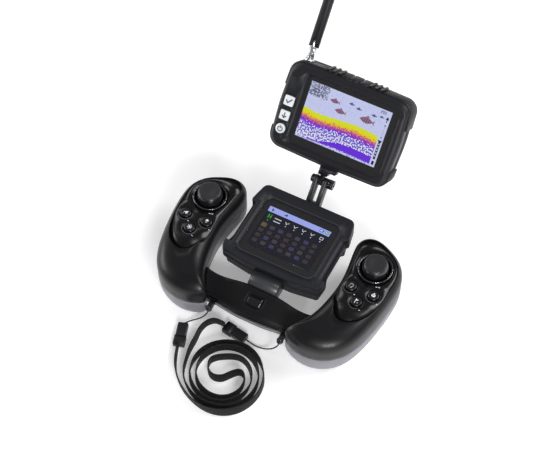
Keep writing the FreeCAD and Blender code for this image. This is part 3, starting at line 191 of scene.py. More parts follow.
def webbing_material():
    """Woven strap: ribs across its width, from the strap's own lengths."""
    m = bpy.data.materials.new("webbing")
    m.use_nodes = True
    t = m.node_tree
    t.nodes.clear()
    out = node(t, "ShaderNodeOutputMaterial")
    uv = node(t, "ShaderNodeTexCoord").outputs["UV"]
    ribs = node(t, "ShaderNodeTexWave", {"Vector": uv, "Scale": 190.0, "Distortion": 0.6, "Detail": 1.0},
                bands_direction="X")
    rows = node(t, "ShaderNodeTexWave", {"Vector": uv, "Scale": 260.0, "Distortion": 0.3},
                bands_direction="Y")
    cloth = node(t, "ShaderNodeTexNoise", {"Vector": uv, "Scale": 700.0, "Detail": 3.0})
    weave = node(t, "ShaderNodeMath", {0: ribs.outputs["Fac"], 1: rows.outputs["Fac"]}, operation="MULTIPLY")
    worn = node(t, "ShaderNodeMath", {0: weave.outputs[0], 1: cloth.outputs["Fac"]}, operation="ADD")
    tone = node(t, "ShaderNodeMapRange", {"Value": worn.outputs[0], "From Min": 0.2, "From Max": 1.4,
                                          "To Min": 0.001, "To Max": 0.014})
    relief = node(t, "ShaderNodeBump", {"Height": worn.outputs[0], "Strength": 0.8, "Distance": 0.0003})
    grey = node(t, "ShaderNodeCombineColor", {0: tone.outputs[0], 1: tone.outputs[0], 2: tone.outputs[0]})
    b = node(t, "ShaderNodeBsdfPrincipled", {"Base Color": grey.outputs[0], "Roughness": 0.62,
                                             "Normal": relief.outputs[0], "Specular IOR Level": 0.25})
    t.links.new(b.outputs[0], out.inputs[0])
    return m


WEBBING = webbing_material()

# ---------- mesh helpers ----------


def add(name, verts, faces, material, body, smooth=False):
    mesh = bpy.data.meshes.new(name)
    mesh.from_pydata([tuple(v) for v in verts], [], faces)
    mesh.update()
    o = bpy.data.objects.new(name, mesh)
    scene.collection.objects.link(o)
    bm = bmesh.new()
    bm.from_mesh(mesh)
    bmesh.ops.recalc_face_normals(bm, faces=bm.faces)
    bm.to_mesh(mesh)
    bm.free()
    if smooth:
        soften(o)
    mesh.materials.append(material)
    if body:
        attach(o, body)
    return o


def soften(o, angle=35):
    o.data.polygons.foreach_set("use_smooth", [True] * len(o.data.polygons))
    o.data.set_sharp_from_angle(angle=math.radians(angle))


class Plane:
    """A place to print on: an origin, a right-hand way, an up way, and out of it."""

    def __init__(self, origin, right, up):
        self.o, self.r, self.u = origin, right.normalized(), up.normalized()
        self.n = self.r.cross(self.u)

    def p(self, x, y, out=0.0):
        return self.o + self.r * (x * MM) + self.u * (y * MM) + self.n * (out * MM)


def art(name, plane, polygons, material, body, thick=0.05, base=0.0):
    """Thin printed shapes: each polygon, given in millimetres on the plane, becomes a low plate."""
    verts, faces = [], []
    for poly in polygons:
        k, n = len(verts), len(poly)
        verts += [plane.p(x, y, base) for x, y in poly]
        verts += [plane.p(x, y, base + thick) for x, y in poly]
        faces += [list(range(k, k + n))[::-1], list(range(k + n, k + 2 * n))]
        faces += [[k + i, k + (i + 1) % n, k + n + (i + 1) % n, k + n + i] for i in range(n)]
    return add(name, verts, faces, material, body)


def stroke(points, width, closed=False):
    """Outline strips along a polyline, one four-sided piece per run."""
    out, pts = [], list(points)
    if closed:
        pts = pts + [pts[0]]
    for (x0, y0), (x1, y1) in zip(pts, pts[1:]):
        d = math.hypot(x1 - x0, y1 - y0) or 1.0
        nx, ny = -(y1 - y0) / d * width / 2, (x1 - x0) / d * width / 2
        ex, ey = (x1 - x0) / d * width * 0.3, (y1 - y0) / d * width * 0.3
        out.append([(x0 + nx - ex, y0 + ny - ey), (x0 - nx - ex, y0 - ny - ey),
                    (x1 - nx + ex, y1 - ny + ey), (x1 + nx + ex, y1 + ny + ey)])
    return out


def turned(x, y, r, a):
    """The point at angle a, in degrees, on a circle of radius r."""
    return (x + r * math.cos(math.radians(a)), y + r * math.sin(math.radians(a)))


def disc(x, y, r, n=20):
    return [turned(x, y, r, 360.0 * i / n) for i in range(n)]


def arc_stroke(x, y, r, a0, a1, width, n=12):
    return stroke([turned(x, y, r, a0 + (a1 - a0) * i / n) for i in range(n + 1)], width)


def rect(x0, y0, x1, y1, r=0.0, n=4):
    """Rectangle between two corners, with round corners where r is more than nothing."""
    if r <= 0:
        return [(x0, y0), (x1, y0), (x1, y1), (x0, y1)]
    corners = ((x1 - r, y0 + r, -90), (x1 - r, y1 - r, 0), (x0 + r, y1 - r, 90), (x0 + r, y0 + r, 180))
    return [turned(cx, cy, r, a + 90 * i / n) for cx, cy, a in corners for i in range(n + 1)]


def ring_shape(outer, inner, plane, material, body, name, thick, base=0.0):
    """Flat frame between two outlines with the same number of points."""
    n = len(outer)
    verts = [plane.p(x, y, base) for x, y in outer] + [plane.p(x, y, base) for x, y in inner]
    verts += [plane.p(x, y, base + thick) for x, y in outer] + [plane.p(x, y, base + thick) for x, y in inner]
    faces = []
    for i in range(n):
        j = (i + 1) % n
        faces += [[i, j, n + j, n + i], [2 * n + i, 3 * n + i, 3 * n + j, 2 * n + j],
                  [i, 2 * n + i, 2 * n + j, j], [n + i, n + j, 3 * n + j, 3 * n + i]]
    return add(name, verts, faces, material, body)


def tube(name, points, radius, material, body, cyclic=False):
    c = bpy.data.curves.new(name, "CURVE")
    c.dimensions = "3D"
    c.bevel_depth = radius
    c.bevel_resolution = 5
    c.use_fill_caps = True
    s = c.splines.new("NURBS")
    s.points.add(len(points) - 1)
    for q, p in zip(s.points, points):
        q.co = (*p, 1)
    s.order_u = 3
    s.use_cyclic_u = cyclic
    s.use_endpoint_u = not cyclic
    s.resolution_u = 12
    c.materials.append(material)
    o = bpy.data.objects.new(name, c)
    scene.collection.objects.link(o)
    if body:
        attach(o, body)
    return o


def line_of(points):
    """Evaluated centreline of an open NURBS through the given control points."""
    o = tube("line", points, 0.0, CORD, None)
    o.data.bevel_depth = 0
    o.data.use_fill_caps = False
    o.data.resolution_u = 16
    bpy.context.view_layer.update()
    mesh = bpy.data.meshes.new_from_object(o.evaluated_get(bpy.context.evaluated_depsgraph_get()))
    pts = [v.co.copy() for v in mesh.vertices]
    bpy.data.objects.remove(o)
    bpy.data.meshes.remove(mesh)
    return pts


def length_of(pts):
    return sum((b - a).length for a, b in zip(pts, pts[1:]))


# ---------- lanyard ----------
LEFT_CORD = [(-32.6, -79.4, 21.2), (-32.8, -79.8, 15.0), (-35.6, -82.4, 8.6), (-40.4, -85.0, 4.0),
             (-45.6, -88.2, 2.2), (-49.0, -93.3, 2.5)]
RIGHT_CORD = [(32.6, -79.4, 21.2), (32.4, -80.0, 14.4), (28.8, -81.8, 7.4), (22.6, -83.2, 2.8),
              (15.2, -84.4, 1.6), (8.6, -84.0, 2.0), (3.0, -83.0, 2.5)]
for side, route in (("left", LEFT_CORD), ("right", RIGHT_CORD)):
    pts = [at(*p) for p in route]
    o = tube(side + "_lanyard_cord", pts, CORD_R * MM, CORD, "remote")
    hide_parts(side + "_cord")
    length_of(line_of(pts))

COIL = (4.0, -121.5)
STRAP_Z = 5.0                        # the strap stands on its edge, half its width over the table
COIL_IN = [
    (33.6, 244), (33.2, 268), (33.0, 292), (33.0, 316), (32.9, 340), (32.8, 364), (32.6, 388), (32.2, 412),
    (31.8, 436), (31.2, 460), (30.6, 484), (30.0, 508), (29.4, 532), (28.6, 556), (27.2, 580), (25.8, 604),
    (24.8, 630), (24.2, 656), (23.8, 682), (23.4, 708), (23.0, 734), (22.4, 760), (21.6, 786), (20.0, 812),
]
COIL_OUT = [
    (18.6, 350), (19.2, 325), (19.8, 300), (20.2, 275), (20.8, 250), (21.8, 228), (22.8, 206), (23.9, 184),
    (24.8, 162), (25.8, 140), (26.6, 118), (27.2, 96), (27.8, 74), (28.2, 50), (28.4, 26), (28.5, 2),
    (28.6, -22), (28.7, -46), (28.9, -70), (29.3, -94), (30.0, -116), (31.4, -138), (33.4, -158),
]
LEAD = [(-42.7, -113.6), (-39.4, -123.8), (-33.0, -135.4), (-23.2, -144.8)]
MIDDLE = [(-12.6, -111.5), (-12.0, -120.5), (-5.0, -127.0), (3.6, -125.0), (8.4, -117.6), (14.0, -111.6),
          (20.2, -115.0)]
TAIL = [(-31.4, -118.4), (-32.6, -109.0), (-32.6, -102.6), (-34.0, -93.2), (-31.8, -84.4), (-25.6, -79.0),
        (-17.8, -80.1)]
coil_in, coil_out = [[turned(*COIL, radius, a) for radius, a in turns] for turns in (COIL_IN, COIL_OUT)]
flat_route = LEAD + coil_in + MIDDLE + coil_out + TAIL


STRAP_EDGE, STRAP_MIDDLE = 0.62, 1.15     # thickness at the edges and in the middle


def strap(name, pts, width, thick, lean_of):
    """Flat webbing standing on its edge along a line, with a soft lean that changes as it goes."""
    n = len(pts)
    run = [0.0]
    for a, b in zip(pts, pts[1:]):
        run.append(run[-1] + (b - a).length)
    verts = []
    for i, p in enumerate(pts):
        d = (pts[min(i + 1, n - 1)] - pts[max(i - 1, 0)]).normalized()
        side = d.cross(Z).normalized()
        lean = lean_of(run[i] / run[-1], run[i])
        up = (Z * math.cos(lean) + side * math.sin(lean)).normalized()
        flat = d.cross(up).normalized()
        for across, out in ((-0.5, -0.5), (0.5, -0.5), (0.5, 0.5), (-0.5, 0.5)):
            verts.append(p + up * (width * across) + flat * (thick * out * STRAP_EDGE))
        for across, out in ((0.0, -0.5), (0.0, 0.5)):
            verts.append(p + up * (width * across) + flat * (thick * out * STRAP_MIDDLE))
    order = [0, 4, 1, 2, 5, 3]
    faces, face_uv = [], []
    across_uv = {0: 0.0, 4: 0.5, 1: 1.0, 2: 1.0, 5: 0.5, 3: 0.0}
    for i in range(n - 1):
        for a, b in zip(order, order[1:] + order[:1]):
            faces.append([6 * i + a, 6 * i + b, 6 * (i + 1) + b, 6 * (i + 1) + a])
            face_uv.append([(run[i] * 10, across_uv[a] * 0.1), (run[i] * 10, across_uv[b] * 0.1),
                            (run[i + 1] * 10, across_uv[b] * 0.1), (run[i + 1] * 10, across_uv[a] * 0.1)])
    for k in (0, 6 * (n - 1)):
        faces.append([k + a for a in order])
        face_uv.append([(0, 0)] * 6)
    mesh = bpy.data.meshes.new(name)
    mesh.from_pydata([tuple(v) for v in verts], [], faces)
    uv = mesh.uv_layers.new(name="UVMap")
    loop = 0
    for f in face_uv:
        for c in f:
            uv.data[loop].uv = c
            loop += 1
    mesh.update()
    mesh.materials.append(WEBBING)
    o = bpy.data.objects.new(name, mesh)
    scene.collection.objects.link(o)
    soften(o, 40)
    return o


line = line_of([at(x, y, STRAP_Z) for x, y in flat_route])
webbing = strap("lanyard_webbing", line, 9.6 * MM, 1.2 * MM,
                lambda s, run: 0.10 * math.sin(run * 46) + 0.05 * math.sin(run * 131))
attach(webbing, "remote")
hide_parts("strap_lead", "strap_tail", "strap_coil")

# ---------- CAD nodes' surfaces ----------
LOOKS = {
    "grip_upper": SHELL, "grip_lower": GREY, "faceplate": PLATE, "stick_ring": RING, "gimbal_base": CASE,
    "gimbal_yoke": CASE, "stick": BALL, "stick_pad": PAD, "outer_button": BUTTON, "inner_button": BUTTON,
    "lower_button": BUTTON,
}
SINGLE = {
    "switch_boards": PCB, "grip_batteries": CELL, "battery_doors": GREY, "grip_screws": STEEL,
    "bridge_top": SHELL, "bridge_bottom": GREY, "power_button": BUTTON, "neck": NECK,
    "lanyard_eyelets": DARK_STEEL,
    "display_bezel": CASE, "display_housing": CASE, "display_lens": PLATE, "display_lcd": PLATE,
    "display_board": PCB, "fork_arm": BLACK_METAL, "pivot_screw": BLACK_METAL, "pivot_knob": BUTTON,
    "pivot_washers": RUBBER, "finder_front": CASE, "finder_back": CASE, "finder_bumpers": RUBBER,
    "finder_glass": PLATE, "finder_lcd": PLATE, "finder_board": PCB, "finder_battery": FOIL,
    "finder_foot": CASE, "antenna_socket": METAL, "antenna_base": METAL, "antenna_whip": RUBBER,
    "check_key": KEY, "arrow_key": KEY, "finder_power_key": KEY, "lanyard_buckles": BUCKLE,
}
for name, o in NODES.items():
    plain = name.split("_", 1)[1] if name.startswith(("left_", "right_")) else name
    look = SINGLE.get(name) or LOOKS.get(plain)
    if look is None:
        look = CORD
    o.data.materials.clear()
    o.data.materials.append(look)
    weld = o.modifiers.new("weld", "WELD")
    weld.merge_threshold = 2e-6
    soften(o, 30)

# ---------- remote's display ----------
lens_top = FACE_Z - LENS_SINK
lens_plane = Plane(at(0, 0, 0), X, Y)


def window(name, cad, plane, x0, x1, y0, y1, r, base, thick, body, clear):
    """Window plate: clear over the picture and black-backed round it."""
    m = bpy.data.materials.new(name + "_glass")
    m.use_nodes = True
    t = m.node_tree
    t.nodes.clear()
    out = node(t, "ShaderNodeOutputMaterial")
    where = node(t, "ShaderNodeTexCoord").outputs["Object"]
    smear = node(t, "ShaderNodeTexNoise", {"Vector": where, "Scale": 60.0, "Detail": 4.0})
    rough = node(t, "ShaderNodeMapRange", {"Value": smear.outputs["Fac"], "To Min": 0.02, "To Max": 0.09})
    shine = node(t, "ShaderNodeBsdfGlossy", {"Color": (0.9, 0.92, 0.95, 1), "Roughness": rough.outputs[0]})
    through = node(t, "ShaderNodeBsdfTransparent", {"Color": (0.97, 0.97, 0.98, 1)})
    both = node(t, "ShaderNodeMixShader", {0: 0.03, 1: through.outputs[0], 2: shine.outputs[0]})
    t.links.new(both.outputs[0], out.inputs[0])
    o = art(name, plane, [rect(x0, y0, x1, y1, r, 8)], m, body, thick=thick, base=base)
    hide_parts(cad)
    cx0, cx1, cy0, cy1 = clear
    ring_outer = rect(x0 + 0.3, y0 + 0.3, x1 - 0.3, y1 - 0.3, max(r - 0.3, 0.5), 6)
    ring_inner = rect(cx0, cy0, cx1, cy1, 0.6, 6)
    ring_shape(ring_outer, ring_inner, plane, BORDER, body, name + "_black_border",
               0.06, base=base - 0.075)
    return o


window("remote_window", "display_lens", lens_plane, -34.5, 34.5, -29.4, 27.6, 6.0, lens_top - LENS_T + 0.1,
       LENS_T - 0.1, "remote", (-28.8, 28.8, -22.5, 20.7))

screen_dark = glow("remote_screen_dark", (0.012, 0.012, 0.02), 1.0)
bar_lav = glow("remote_bar", (0.38, 0.44, 0.93), 0.95)
lit_white = glow("lit_white", (0.75, 0.78, 0.85), 0.9)
lit_green = glow("lit_green", (0.07, 0.42, 0.05), 0.9)
lit_blue = glow("lit_blue", (0.05, 0.16, 0.75), 0.9)
lit_black = glow("lit_black", (0.004, 0.004, 0.01), 1.0)
lit_dim = glow("lit_dim", (0.060, 0.058, 0.022), 1.0)
lit_olive = glow("lit_olive", (0.115, 0.098, 0.050), 1.0)
lcd_plane = Plane(at(0, 0, lens_top - LENS_T), X, Y)


def lcd(name, polys, material, base):
    return art(name, lcd_plane, polys, material, "remote", thick=PRINT_T, base=base)


lcd("remote_picture", [rect(-28.4, -22.1, 28.4, 20.5)], screen_dark, 0.004)
lcd("status_bar", [rect(-28.4, 15.1, 28.4, 20.4)], bar_lav, 0.018)
icons = [[(-25.6, 19.4), (-24.9, 16.4), (-23.9, 17.4), (-22.8, 17.0)],
         [(-14.4, 16.2), (-11.4, 19.4), (-11.0, 16.2), (-12.3, 17.4)]]
lcd("status_icons", icons + [rect(-24.6, 16.2, -24.1, 17.0)], lit_black, 0.032)
lcd("battery_blue", [rect(18.8, 16.5, 22.2, 19.2, 0.4), rect(22.2, 17.3, 22.8, 18.4)], lit_blue, 0.032)
lcd("battery_green", [rect(24.0, 16.5, 27.2, 19.2, 0.4)], lit_green, 0.032)
charge = [rect(19.4, 17.2, 21.4, 18.5), rect(24.6, 17.2, 25.6, 18.5), rect(26.1, 17.2, 26.7, 18.5)]
lcd("battery_marks", charge, lit_white, 0.046)
lcd("h_mark", stroke([(-25.2, 12.9), (-25.2, 9.0)], 0.8) + stroke([(-22.9, 12.9), (-22.9, 9.0)], 0.8)
    + stroke([(-25.2, 10.9), (-22.9, 10.9)], 0.7) + [disc(-24.0, 6.6, 0.6)], lit_green, 0.018)
marks = [rect(-19.4, 10.6, -13.2, 11.4), rect(-19.4, 7.6, -13.2, 8.4)]
for i in range(4):
    hx = -8.0 + i * 7.8
    marks += stroke([(hx - 1.5, 11.8), (hx - 0.6, 10.0), (hx + 1.8, 11.6)], 0.5) + [disc(hx + 0.1, 7.6, 0.45)]
    marks += stroke([(hx - 0.6, 10.0), (hx + 0.4, 9.6)], 0.5)
marks += stroke(rect(22.6, 9.6, 25.2, 12.0), 0.5, closed=True) + [disc(24.0, 7.6, 0.45)]
lcd("white_marks", marks, lit_white, 0.018)
TONES = [glow("cell_brown", (0.050, 0.036, 0.040), 1.0), glow("cell_violet", (0.052, 0.044, 0.105), 1.0),
         glow("cell_grey", (0.060, 0.052, 0.060), 1.0)]
ROWS, COLUMNS = 4, 7
GRID_X, GRID_Y, GRID_DX, GRID_DY = -24.6, 1.4, 7.8, 5.6     # middle of the first cell; from cell to cell
cells = [[], [], []]
for row in range(ROWS):
    for col in range(COLUMNS):
        gx, gy = GRID_X + col * GRID_DX, GRID_Y - row * GRID_DY
        if row or col:
            tone = (row * 3 + col * 2 + row * col) % len(cells)
            cells[tone].append(rect(gx - 2.2, gy - 1.8, gx + 2.2, gy + 1.8, 0.9))
for tone, polys in zip(TONES, cells):
    lcd(tone.name + "s", polys, tone, 0.018)
lcd("grid_first", [rect(-26.9, -0.7, -22.1, 3.5, 0.8)], lit_olive, 0.018)
dots = [disc(-20.7 + col * GRID_DX, -1.4 - row * GRID_DY, 0.35, 8)
        for row in range(ROWS) for col in range(COLUMNS - 1)]
lcd("grid_dots", dots, lit_dim, 0.018)

# ---------- finder's picture ----------
LCD_W, LCD_H, FIN_X, FIN_V, GLASS_OUT = 73.4, 49.0, 3.9, 54.7, 8.2


def finder_plane(x, v, out):
    """A plane on the finder's front: x to the right, v up and out away from the pivot."""
    return Plane(PIVOT + FIN_UP * (v * MM) + X * (x * MM) + FIN_OUT * (out * MM), X, FIN_UP)


fin = finder_plane(FIN_X, FIN_V, GLASS_OUT)


def sonar():
    """The sonar picture: pale water, a warm bottom line, a violet bed, and echo noise under it."""
    m = bpy.data.materials.new("sonar_picture")
    m.use_nodes = True
    t = m.node_tree
    t.nodes.clear()
    out = node(t, "ShaderNodeOutputMaterial")
    uv = node(t, "ShaderNodeTexCoord").outputs["UV"]
    xy = node(t, "ShaderNodeSeparateXYZ", {0: uv})
    x, y = xy.outputs[0], xy.outputs[1]

    def op(kind, a, b=0.0, c=0.0):
        return node(t, "ShaderNodeMath", {0: a, 1: b, 2: c}, operation=kind).outputs[0]

    def noise(scale, stretch, detail=3.0):
        moved = node(t, "ShaderNodeMapping", {"Vector": uv, "Scale": stretch}).outputs[0]
        grain = node(t, "ShaderNodeTexNoise", {"Vector": moved, "Scale": scale, "Detail": detail})
        return grain.outputs["Fac"]

    def ramp(value, stops, kind="LINEAR"):
        r = t.nodes.new("ShaderNodeValToRGB")
        r.color_ramp.interpolation = kind
        t.links.new(value, r.inputs[0])
        e = r.color_ramp.elements
        while len(e) < len(stops):
            e.new(0.5)
        for item, (pos, col) in zip(e, stops):
            item.position, item.color = pos, (*col, 1)
        return r.outputs[0]

    def choose(mask, a, b):
        mix = t.nodes.new("ShaderNodeMix")
        mix.data_type = "RGBA"
        t.links.new(mask, mix.inputs["Factor"])
        for socket, v in ((mix.inputs[6], a), (mix.inputs[7], b)):
            if isinstance(v, tuple):
                socket.default_value = (*v, 1)
            else:
                t.links.new(v, socket)
        return mix.outputs[2]

    def curve(stops):
        """A height across the picture, through (share from the left, height) points."""
        r = ramp(x, [(a, (b, b, b)) for a, b in stops], "B_SPLINE")
        return node(t, "ShaderNodeSeparateColor", {0: r}).outputs[0]

    speck = noise(62.0, (1, 0.67, 1), 0.0)
    speck_b = noise(54.0, (1, 0.67, 7), 0.0)
    column = op("MULTIPLY_ADD", noise(90.0, (1, 0.01, 1), 1.0), 0.06, -0.03)
    top = op("ADD", curve([(0.0, 0.545), (0.17, 0.495), (0.42, 0.53), (0.66, 0.575), (0.93, 0.52)]), column)
    depth = op("SUBTRACT", top, y)
    jitter = op("MULTIPLY_ADD", speck, 0.30, -0.15)
    warm = ramp(op("ADD", op("MULTIPLY", depth, 2.2), jitter), [
        (0.0, (0.74, 0.80, 0.02)), (0.15, (0.82, 0.74, 0.01)), (0.21, (0.86, 0.40, 0.05)),
        (0.28, (0.62, 0.12, 0.26)), (0.36, (0.32, 0.045, 0.52)), (0.45, (0.155, 0.030, 0.74))], "CONSTANT")
    pale, violet = (0.62, 0.66, 0.93), (0.155, 0.030, 0.74)
    water = choose(op("GREATER_THAN", speck, 0.66), pale, (0.50, 0.54, 0.88))
    echo = choose(op("GREATER_THAN", speck_b, op("MULTIPLY_ADD", depth, 0.45, 0.34)), (0.80, 0.84, 0.97),
                  (0.17, 0.10, 0.62))
    floor = choose(op("GREATER_THAN", speck_b, 0.62), pale, (0.20, 0.14, 0.60))
    ragged = op("MULTIPLY_ADD", speck_b, 0.16, -0.08)
    cold_at = op("ADD", curve([(0.0, 0.25), (0.5, 0.22), (0.93, 0.23)]), ragged)
    fringe = op("MULTIPLY", ragged, 0.4)
    low_top = op("ADD", curve([(0.0, 0.02), (0.30, 0.05), (0.55, 0.20), (0.93, 0.155)]), fringe)
    low_foot = op("ADD", curve([(0.0, 0.02), (0.30, 0.03), (0.55, 0.06), (0.93, 0.03)]), fringe)
    # A speckled dark-grey patch over the picture's top left corner, under the depth figures.
    corner_patch = op("MULTIPLY", op("LESS_THAN", x, 0.24), op("GREATER_THAN", y, 0.76))
    col = choose(op("MULTIPLY", corner_patch, op("GREATER_THAN", speck, 0.50)), water, (0.20, 0.21, 0.30))
    col = choose(op("GREATER_THAN", depth, 0.0), col, warm)
    col = choose(op("GREATER_THAN", depth, cold_at), col, echo)
    col = choose(op("LESS_THAN", y, low_top), col, violet)
    col = choose(op("LESS_THAN", y, low_foot), col, floor)
    col = choose(op("GREATER_THAN", x, 0.93), col, pale)
    e = node(t, "ShaderNodeEmission", {"Color": col, "Strength": 0.95})
    t.links.new(e.outputs[0], out.inputs[0])
    return m


def fin_art(name, polys, material, base):
    return art(name, fin, polys, material, "finder", thick=PRINT_T, base=base)


half_w, half_h = LCD_W / 2 - 0.3, LCD_H / 2 - 0.3
picture = fin_art("sonar_screen", [rect(-half_w, -half_h, half_w, half_h)], sonar(), 0.004)
layer = picture.data.uv_layers.new(name="UVMap")
for loop in picture.data.loops:
    p = picture.data.vertices[loop.vertex_index].co - fin.o
    layer.data[loop.index].uv = ((p.dot(fin.r) / MM + LCD_W / 2) / LCD_W,
                                 (p.dot(fin.u) / MM + LCD_H / 2) / LCD_H)


def fish(x, y, s):
    """Side view of a fish: a body with a forked tail and a back fin."""
    body = [(-1.0, 0.0), (-0.55, 0.34), (0.0, 0.44), (0.55, 0.26), (0.78, 0.08), (1.15, 0.36), (1.02, 0.0),
            (1.15, -0.36), (0.78, -0.08), (0.55, -0.26), (0.0, -0.40), (-0.55, -0.28)]
    fin_ = [(-0.30, 0.36), (0.05, 0.72), (0.40, 0.30)]
    return [[(x + px * s, y + py * s) for px, py in part] for part in (body, fin_)]


fish_pink = glow("fish_pink", (0.36, 0.17, 0.25), 0.95)
fish_dark = glow("fish_dark", (0.055, 0.06, 0.14), 1.0)
fish_blue = glow("fish_blue", (0.09, 0.13, 0.30), 1.0)
fin_grey = glow("fin_grey", (0.10, 0.11, 0.17), 1.0)
fin_black = glow("fin_black", (0.01, 0.01, 0.015), 1.0)
fin_white = glow("fin_white", (0.80, 0.80, 0.88), 0.95)
LARGE = [(-12.6, 15.0, 4.3), (-5.7, 8.6, 4.9), (17.8, 10.1, 6.4)]
SMALL = [(1.7, 18.1, 2.4), (8.6, 16.5, 2.4), (22.5, 16.1, 2.4), (28.9, 17.4, 2.0)]
fin_art("fish_large", [p for f in LARGE for p in fish(*f)], fish_pink, 0.018)
fin_art("fish_small", [p for f in SMALL for p in fish(*f)], fish_blue, 0.018)
stripes = []
for fx, fy, fs in LARGE:
    for k in range(5):
        sx = fx + fs * (-0.62 + 0.30 * k)
        tall = fs * (0.20, 0.34, 0.36, 0.28, 0.14)[k]
        stripes.append([(sx - 0.05 * fs, fy - tall), (sx + 0.05 * fs, fy - tall), (sx + 0.13 * fs, fy + tall),
                        (sx + 0.03 * fs, fy + tall)])
    stripes.append(disc(fx - 0.78 * fs, fy + 0.06 * fs, 0.07 * fs, 8))
fin_art("fish_stripes", stripes, fish_dark, 0.032)


STROKES = {"0": "tblrkj", "1": "rj", "2": "trmkb", "4": "lmrj", "5": "tlmjb", "8": "tmblrkj"}


def digit(ch, x, y, h, w=0.55):
    """Seven-stroke numeral."""
    a, m = h * 0.5, h / 2
    runs = {"t": (0, h, a, h), "m": (0, m, a, m), "b": (0, 0, a, 0), "l": (0, m, 0, h),
            "r": (a, m, a, h), "k": (0, 0, 0, m), "j": (a, 0, a, m)}
    out = []
    for x0, y0, x1, y1 in (runs[name] for name in STROKES[ch]):
        out += stroke([(x + x0, y + y0), (x + x1, y + y1)], w)
    return out


figures = digit("2", -34.8, 14.0, 5.4, 0.8) + digit("8", -30.9, 14.0, 5.4, 0.8) + [disc(-27.2, 14.2, 0.45)]
figures += digit("4", -26.0, 14.0, 4.0, 0.7)
figures += digit("1", -30.6, 20.2, 2.8) + digit("1", -28.6, 20.2, 2.8)
figures += [disc(-26.2, 20.4, 0.3)] + digit("8", -25.2, 20.2, 2.8)
fin_art("depth_figures", figures, fin_grey, 0.018)
scale_bar = [[(31.6, -1.2), (36.1, -1.2), (34.9, -2.6), (34.9, -17.6), (33.1, -17.6), (33.1, -2.6)]]
scale_bar += [rect(33.0, -22.6, 35.0, -19.2, 0.5), [(32.4, 17.0), (35.6, 17.0), (34.0, 19.6)]]
scale_bar += [rect(33.6, 14.6, 34.4, 17.0)]
fin_art("depth_bar", scale_bar, fin_black, 0.018)
bar_marks = [rect(33.6, -5.0 - i * 2.6, 34.4, -3.8 - i * 2.6) for i in range(5)]
fin_art("depth_bar_marks", bar_marks, fin_white, 0.032)
depth_scale = [rect(33.9, 1.2, 34.1, 12.4), [(33.2, 1.8), (34.8, 1.8), (34.0, 0.2)], disc(34.0, 11.8, 0.7)]
fin_art("depth_scale", depth_scale, fish_blue, 0.018)
top_figures = [q for ch, x in (("2", 27.0), ("0", 28.8), ("5", 30.6)) for q in digit(ch, x, 20.8, 2.0, 0.4)]
fin_art("top_figures", top_figures, fin_grey, 0.018)
glass_mid_x = (56 - 10.0 - 82.8 / 2) - FIN_X
window("finder_window", "finder_glass", Plane(fin.o, X, FIN_UP), glass_mid_x - 41.4, glass_mid_x + 41.4,
       -24.5 - 7.3, 24.5 + 3.9, 5.0, 0.1, 1.3, "finder", (-36.5, 36.5, -24.3, 24.3))

# ---------- finder's keys ----------
KEY_X, KEY_OUT = -45.6, FINDER_FACE + FINDER_KEY_RISE
for cad, body, v, shapes in (
        ("check_key", "check_key_cap", 1.2,
         stroke([(-2.3, 0.3), (-0.6, -1.8), (2.5, 1.9)], 0.95)),
        ("arrow_key", "arrow_key_cap", -11.6,
         stroke([(0.0, 2.3), (0.0, -1.0)], 0.85) + stroke([(-1.7, -0.4), (0.0, -2.1), (1.7, -0.4)], 0.85)),
        ("finder_power_key", "finder_power_key_cap", -23.4,
         arc_stroke(0, -0.2, 2.0, 120, 420, 0.7, 20) + stroke([(0, 0.2), (0, 2.5)], 0.7))):
    plane = finder_plane(KEY_X, FIN_V + v, KEY_OUT)
    art(cad + "_mark", plane, shapes, INK, body, thick=0.05, base=0.0)

# ---------- grip buttons ----------
CAP_Z = PLATE_Z + BUTTON_RISE
SPOKES = [q for a in range(0, 360, 60) for q in stroke([turned(0, 0, 1.2, a), turned(0, 0, 2.1, a + 22)], 0.5)]
ICONS = {
    "left_inner": [disc(0, 0.5, 1.25)] + [[(-1.1, 0.1), (1.1, 0.1), (0, -2.0)]],
    "left_outer": [[(-2.0, -0.2), (2.1, 1.7), (0.6, -2.0), (0.0, -0.5)], disc(-1.7, -1.6, 0.3),
                   disc(1.9, -1.2, 0.3)],
    "left_lower": [disc(0, 0, 0.75)] + SPOKES,
    "right_inner": arc_stroke(0.1, 0.3, 1.4, -60, 190, 0.5, 12) + stroke([(0.8, -1.0), (0.2, -2.1)], 0.5)
    + [disc(-1.5, -1.5, 0.3)],
    "right_outer": [rect(-1.6, 0.0, 1.6, 0.6), [(-1.9, -0.5), (1.9, -0.5), (1.2, -1.7), (-1.2, -1.7)],
                    rect(-0.7, 0.9, 0.7, 1.8)],
    "right_lower": stroke([(-0.9, -2.0), (-0.9, 2.0)], 0.5)
    + [[(-0.6, 1.9), (1.6, 1.2), (-0.6, 0.2)], disc(1.3, -1.2, 0.35)],
}
SPOTS = {"outer": (86.2, -20.5), "inner": (66.4, -20.5), "lower": (76.3, -31.8)}
for side, sign in (("left", -1), ("right", 1)):
    rim_highlights, glints = [], []
    for place, (bx, by) in SPOTS.items():
        name = side + "_" + place
        plane = Plane(at(sign * bx, by, CAP_Z), X, Y)
        art(name + "_icon", plane, ICONS[name], PRINT_AND_GLINT, name + "_button_cap", thick=0.05)
        # Grey arc at each button's lower left: a painted highlight on the glossy dish round the button.
        rim_highlights += arc_stroke(sign * bx, by, 6.7, 175, 300, 0.30, 16)
        # White spot at each button's lower right: a painted highlight.
        glints.append(rect(sign * bx + 4.9, by - 6.4, sign * bx + 6.3, by - 6.0))
    top = Plane(at(0, 0, PLATE_Z), X, Y)
    art(side + "_button_rim_highlights", top, rim_highlights, RIM_HIGHLIGHT_GREY, "remote", thick=0.04)
    sx = sign * STICK_X
    # Two white dashes at the lower right of each stick's ring: painted highlights on the ring's glossy edges.
    glints += [rect(sx + 7.5, -12.6, sx + 9.1, -12.1), rect(sx + 9.7, -11.9, sx + 11.3, -11.4)]
    art(side + "_plate_glints", top, glints, PRINT_AND_GLINT, "remote", thick=0.04)
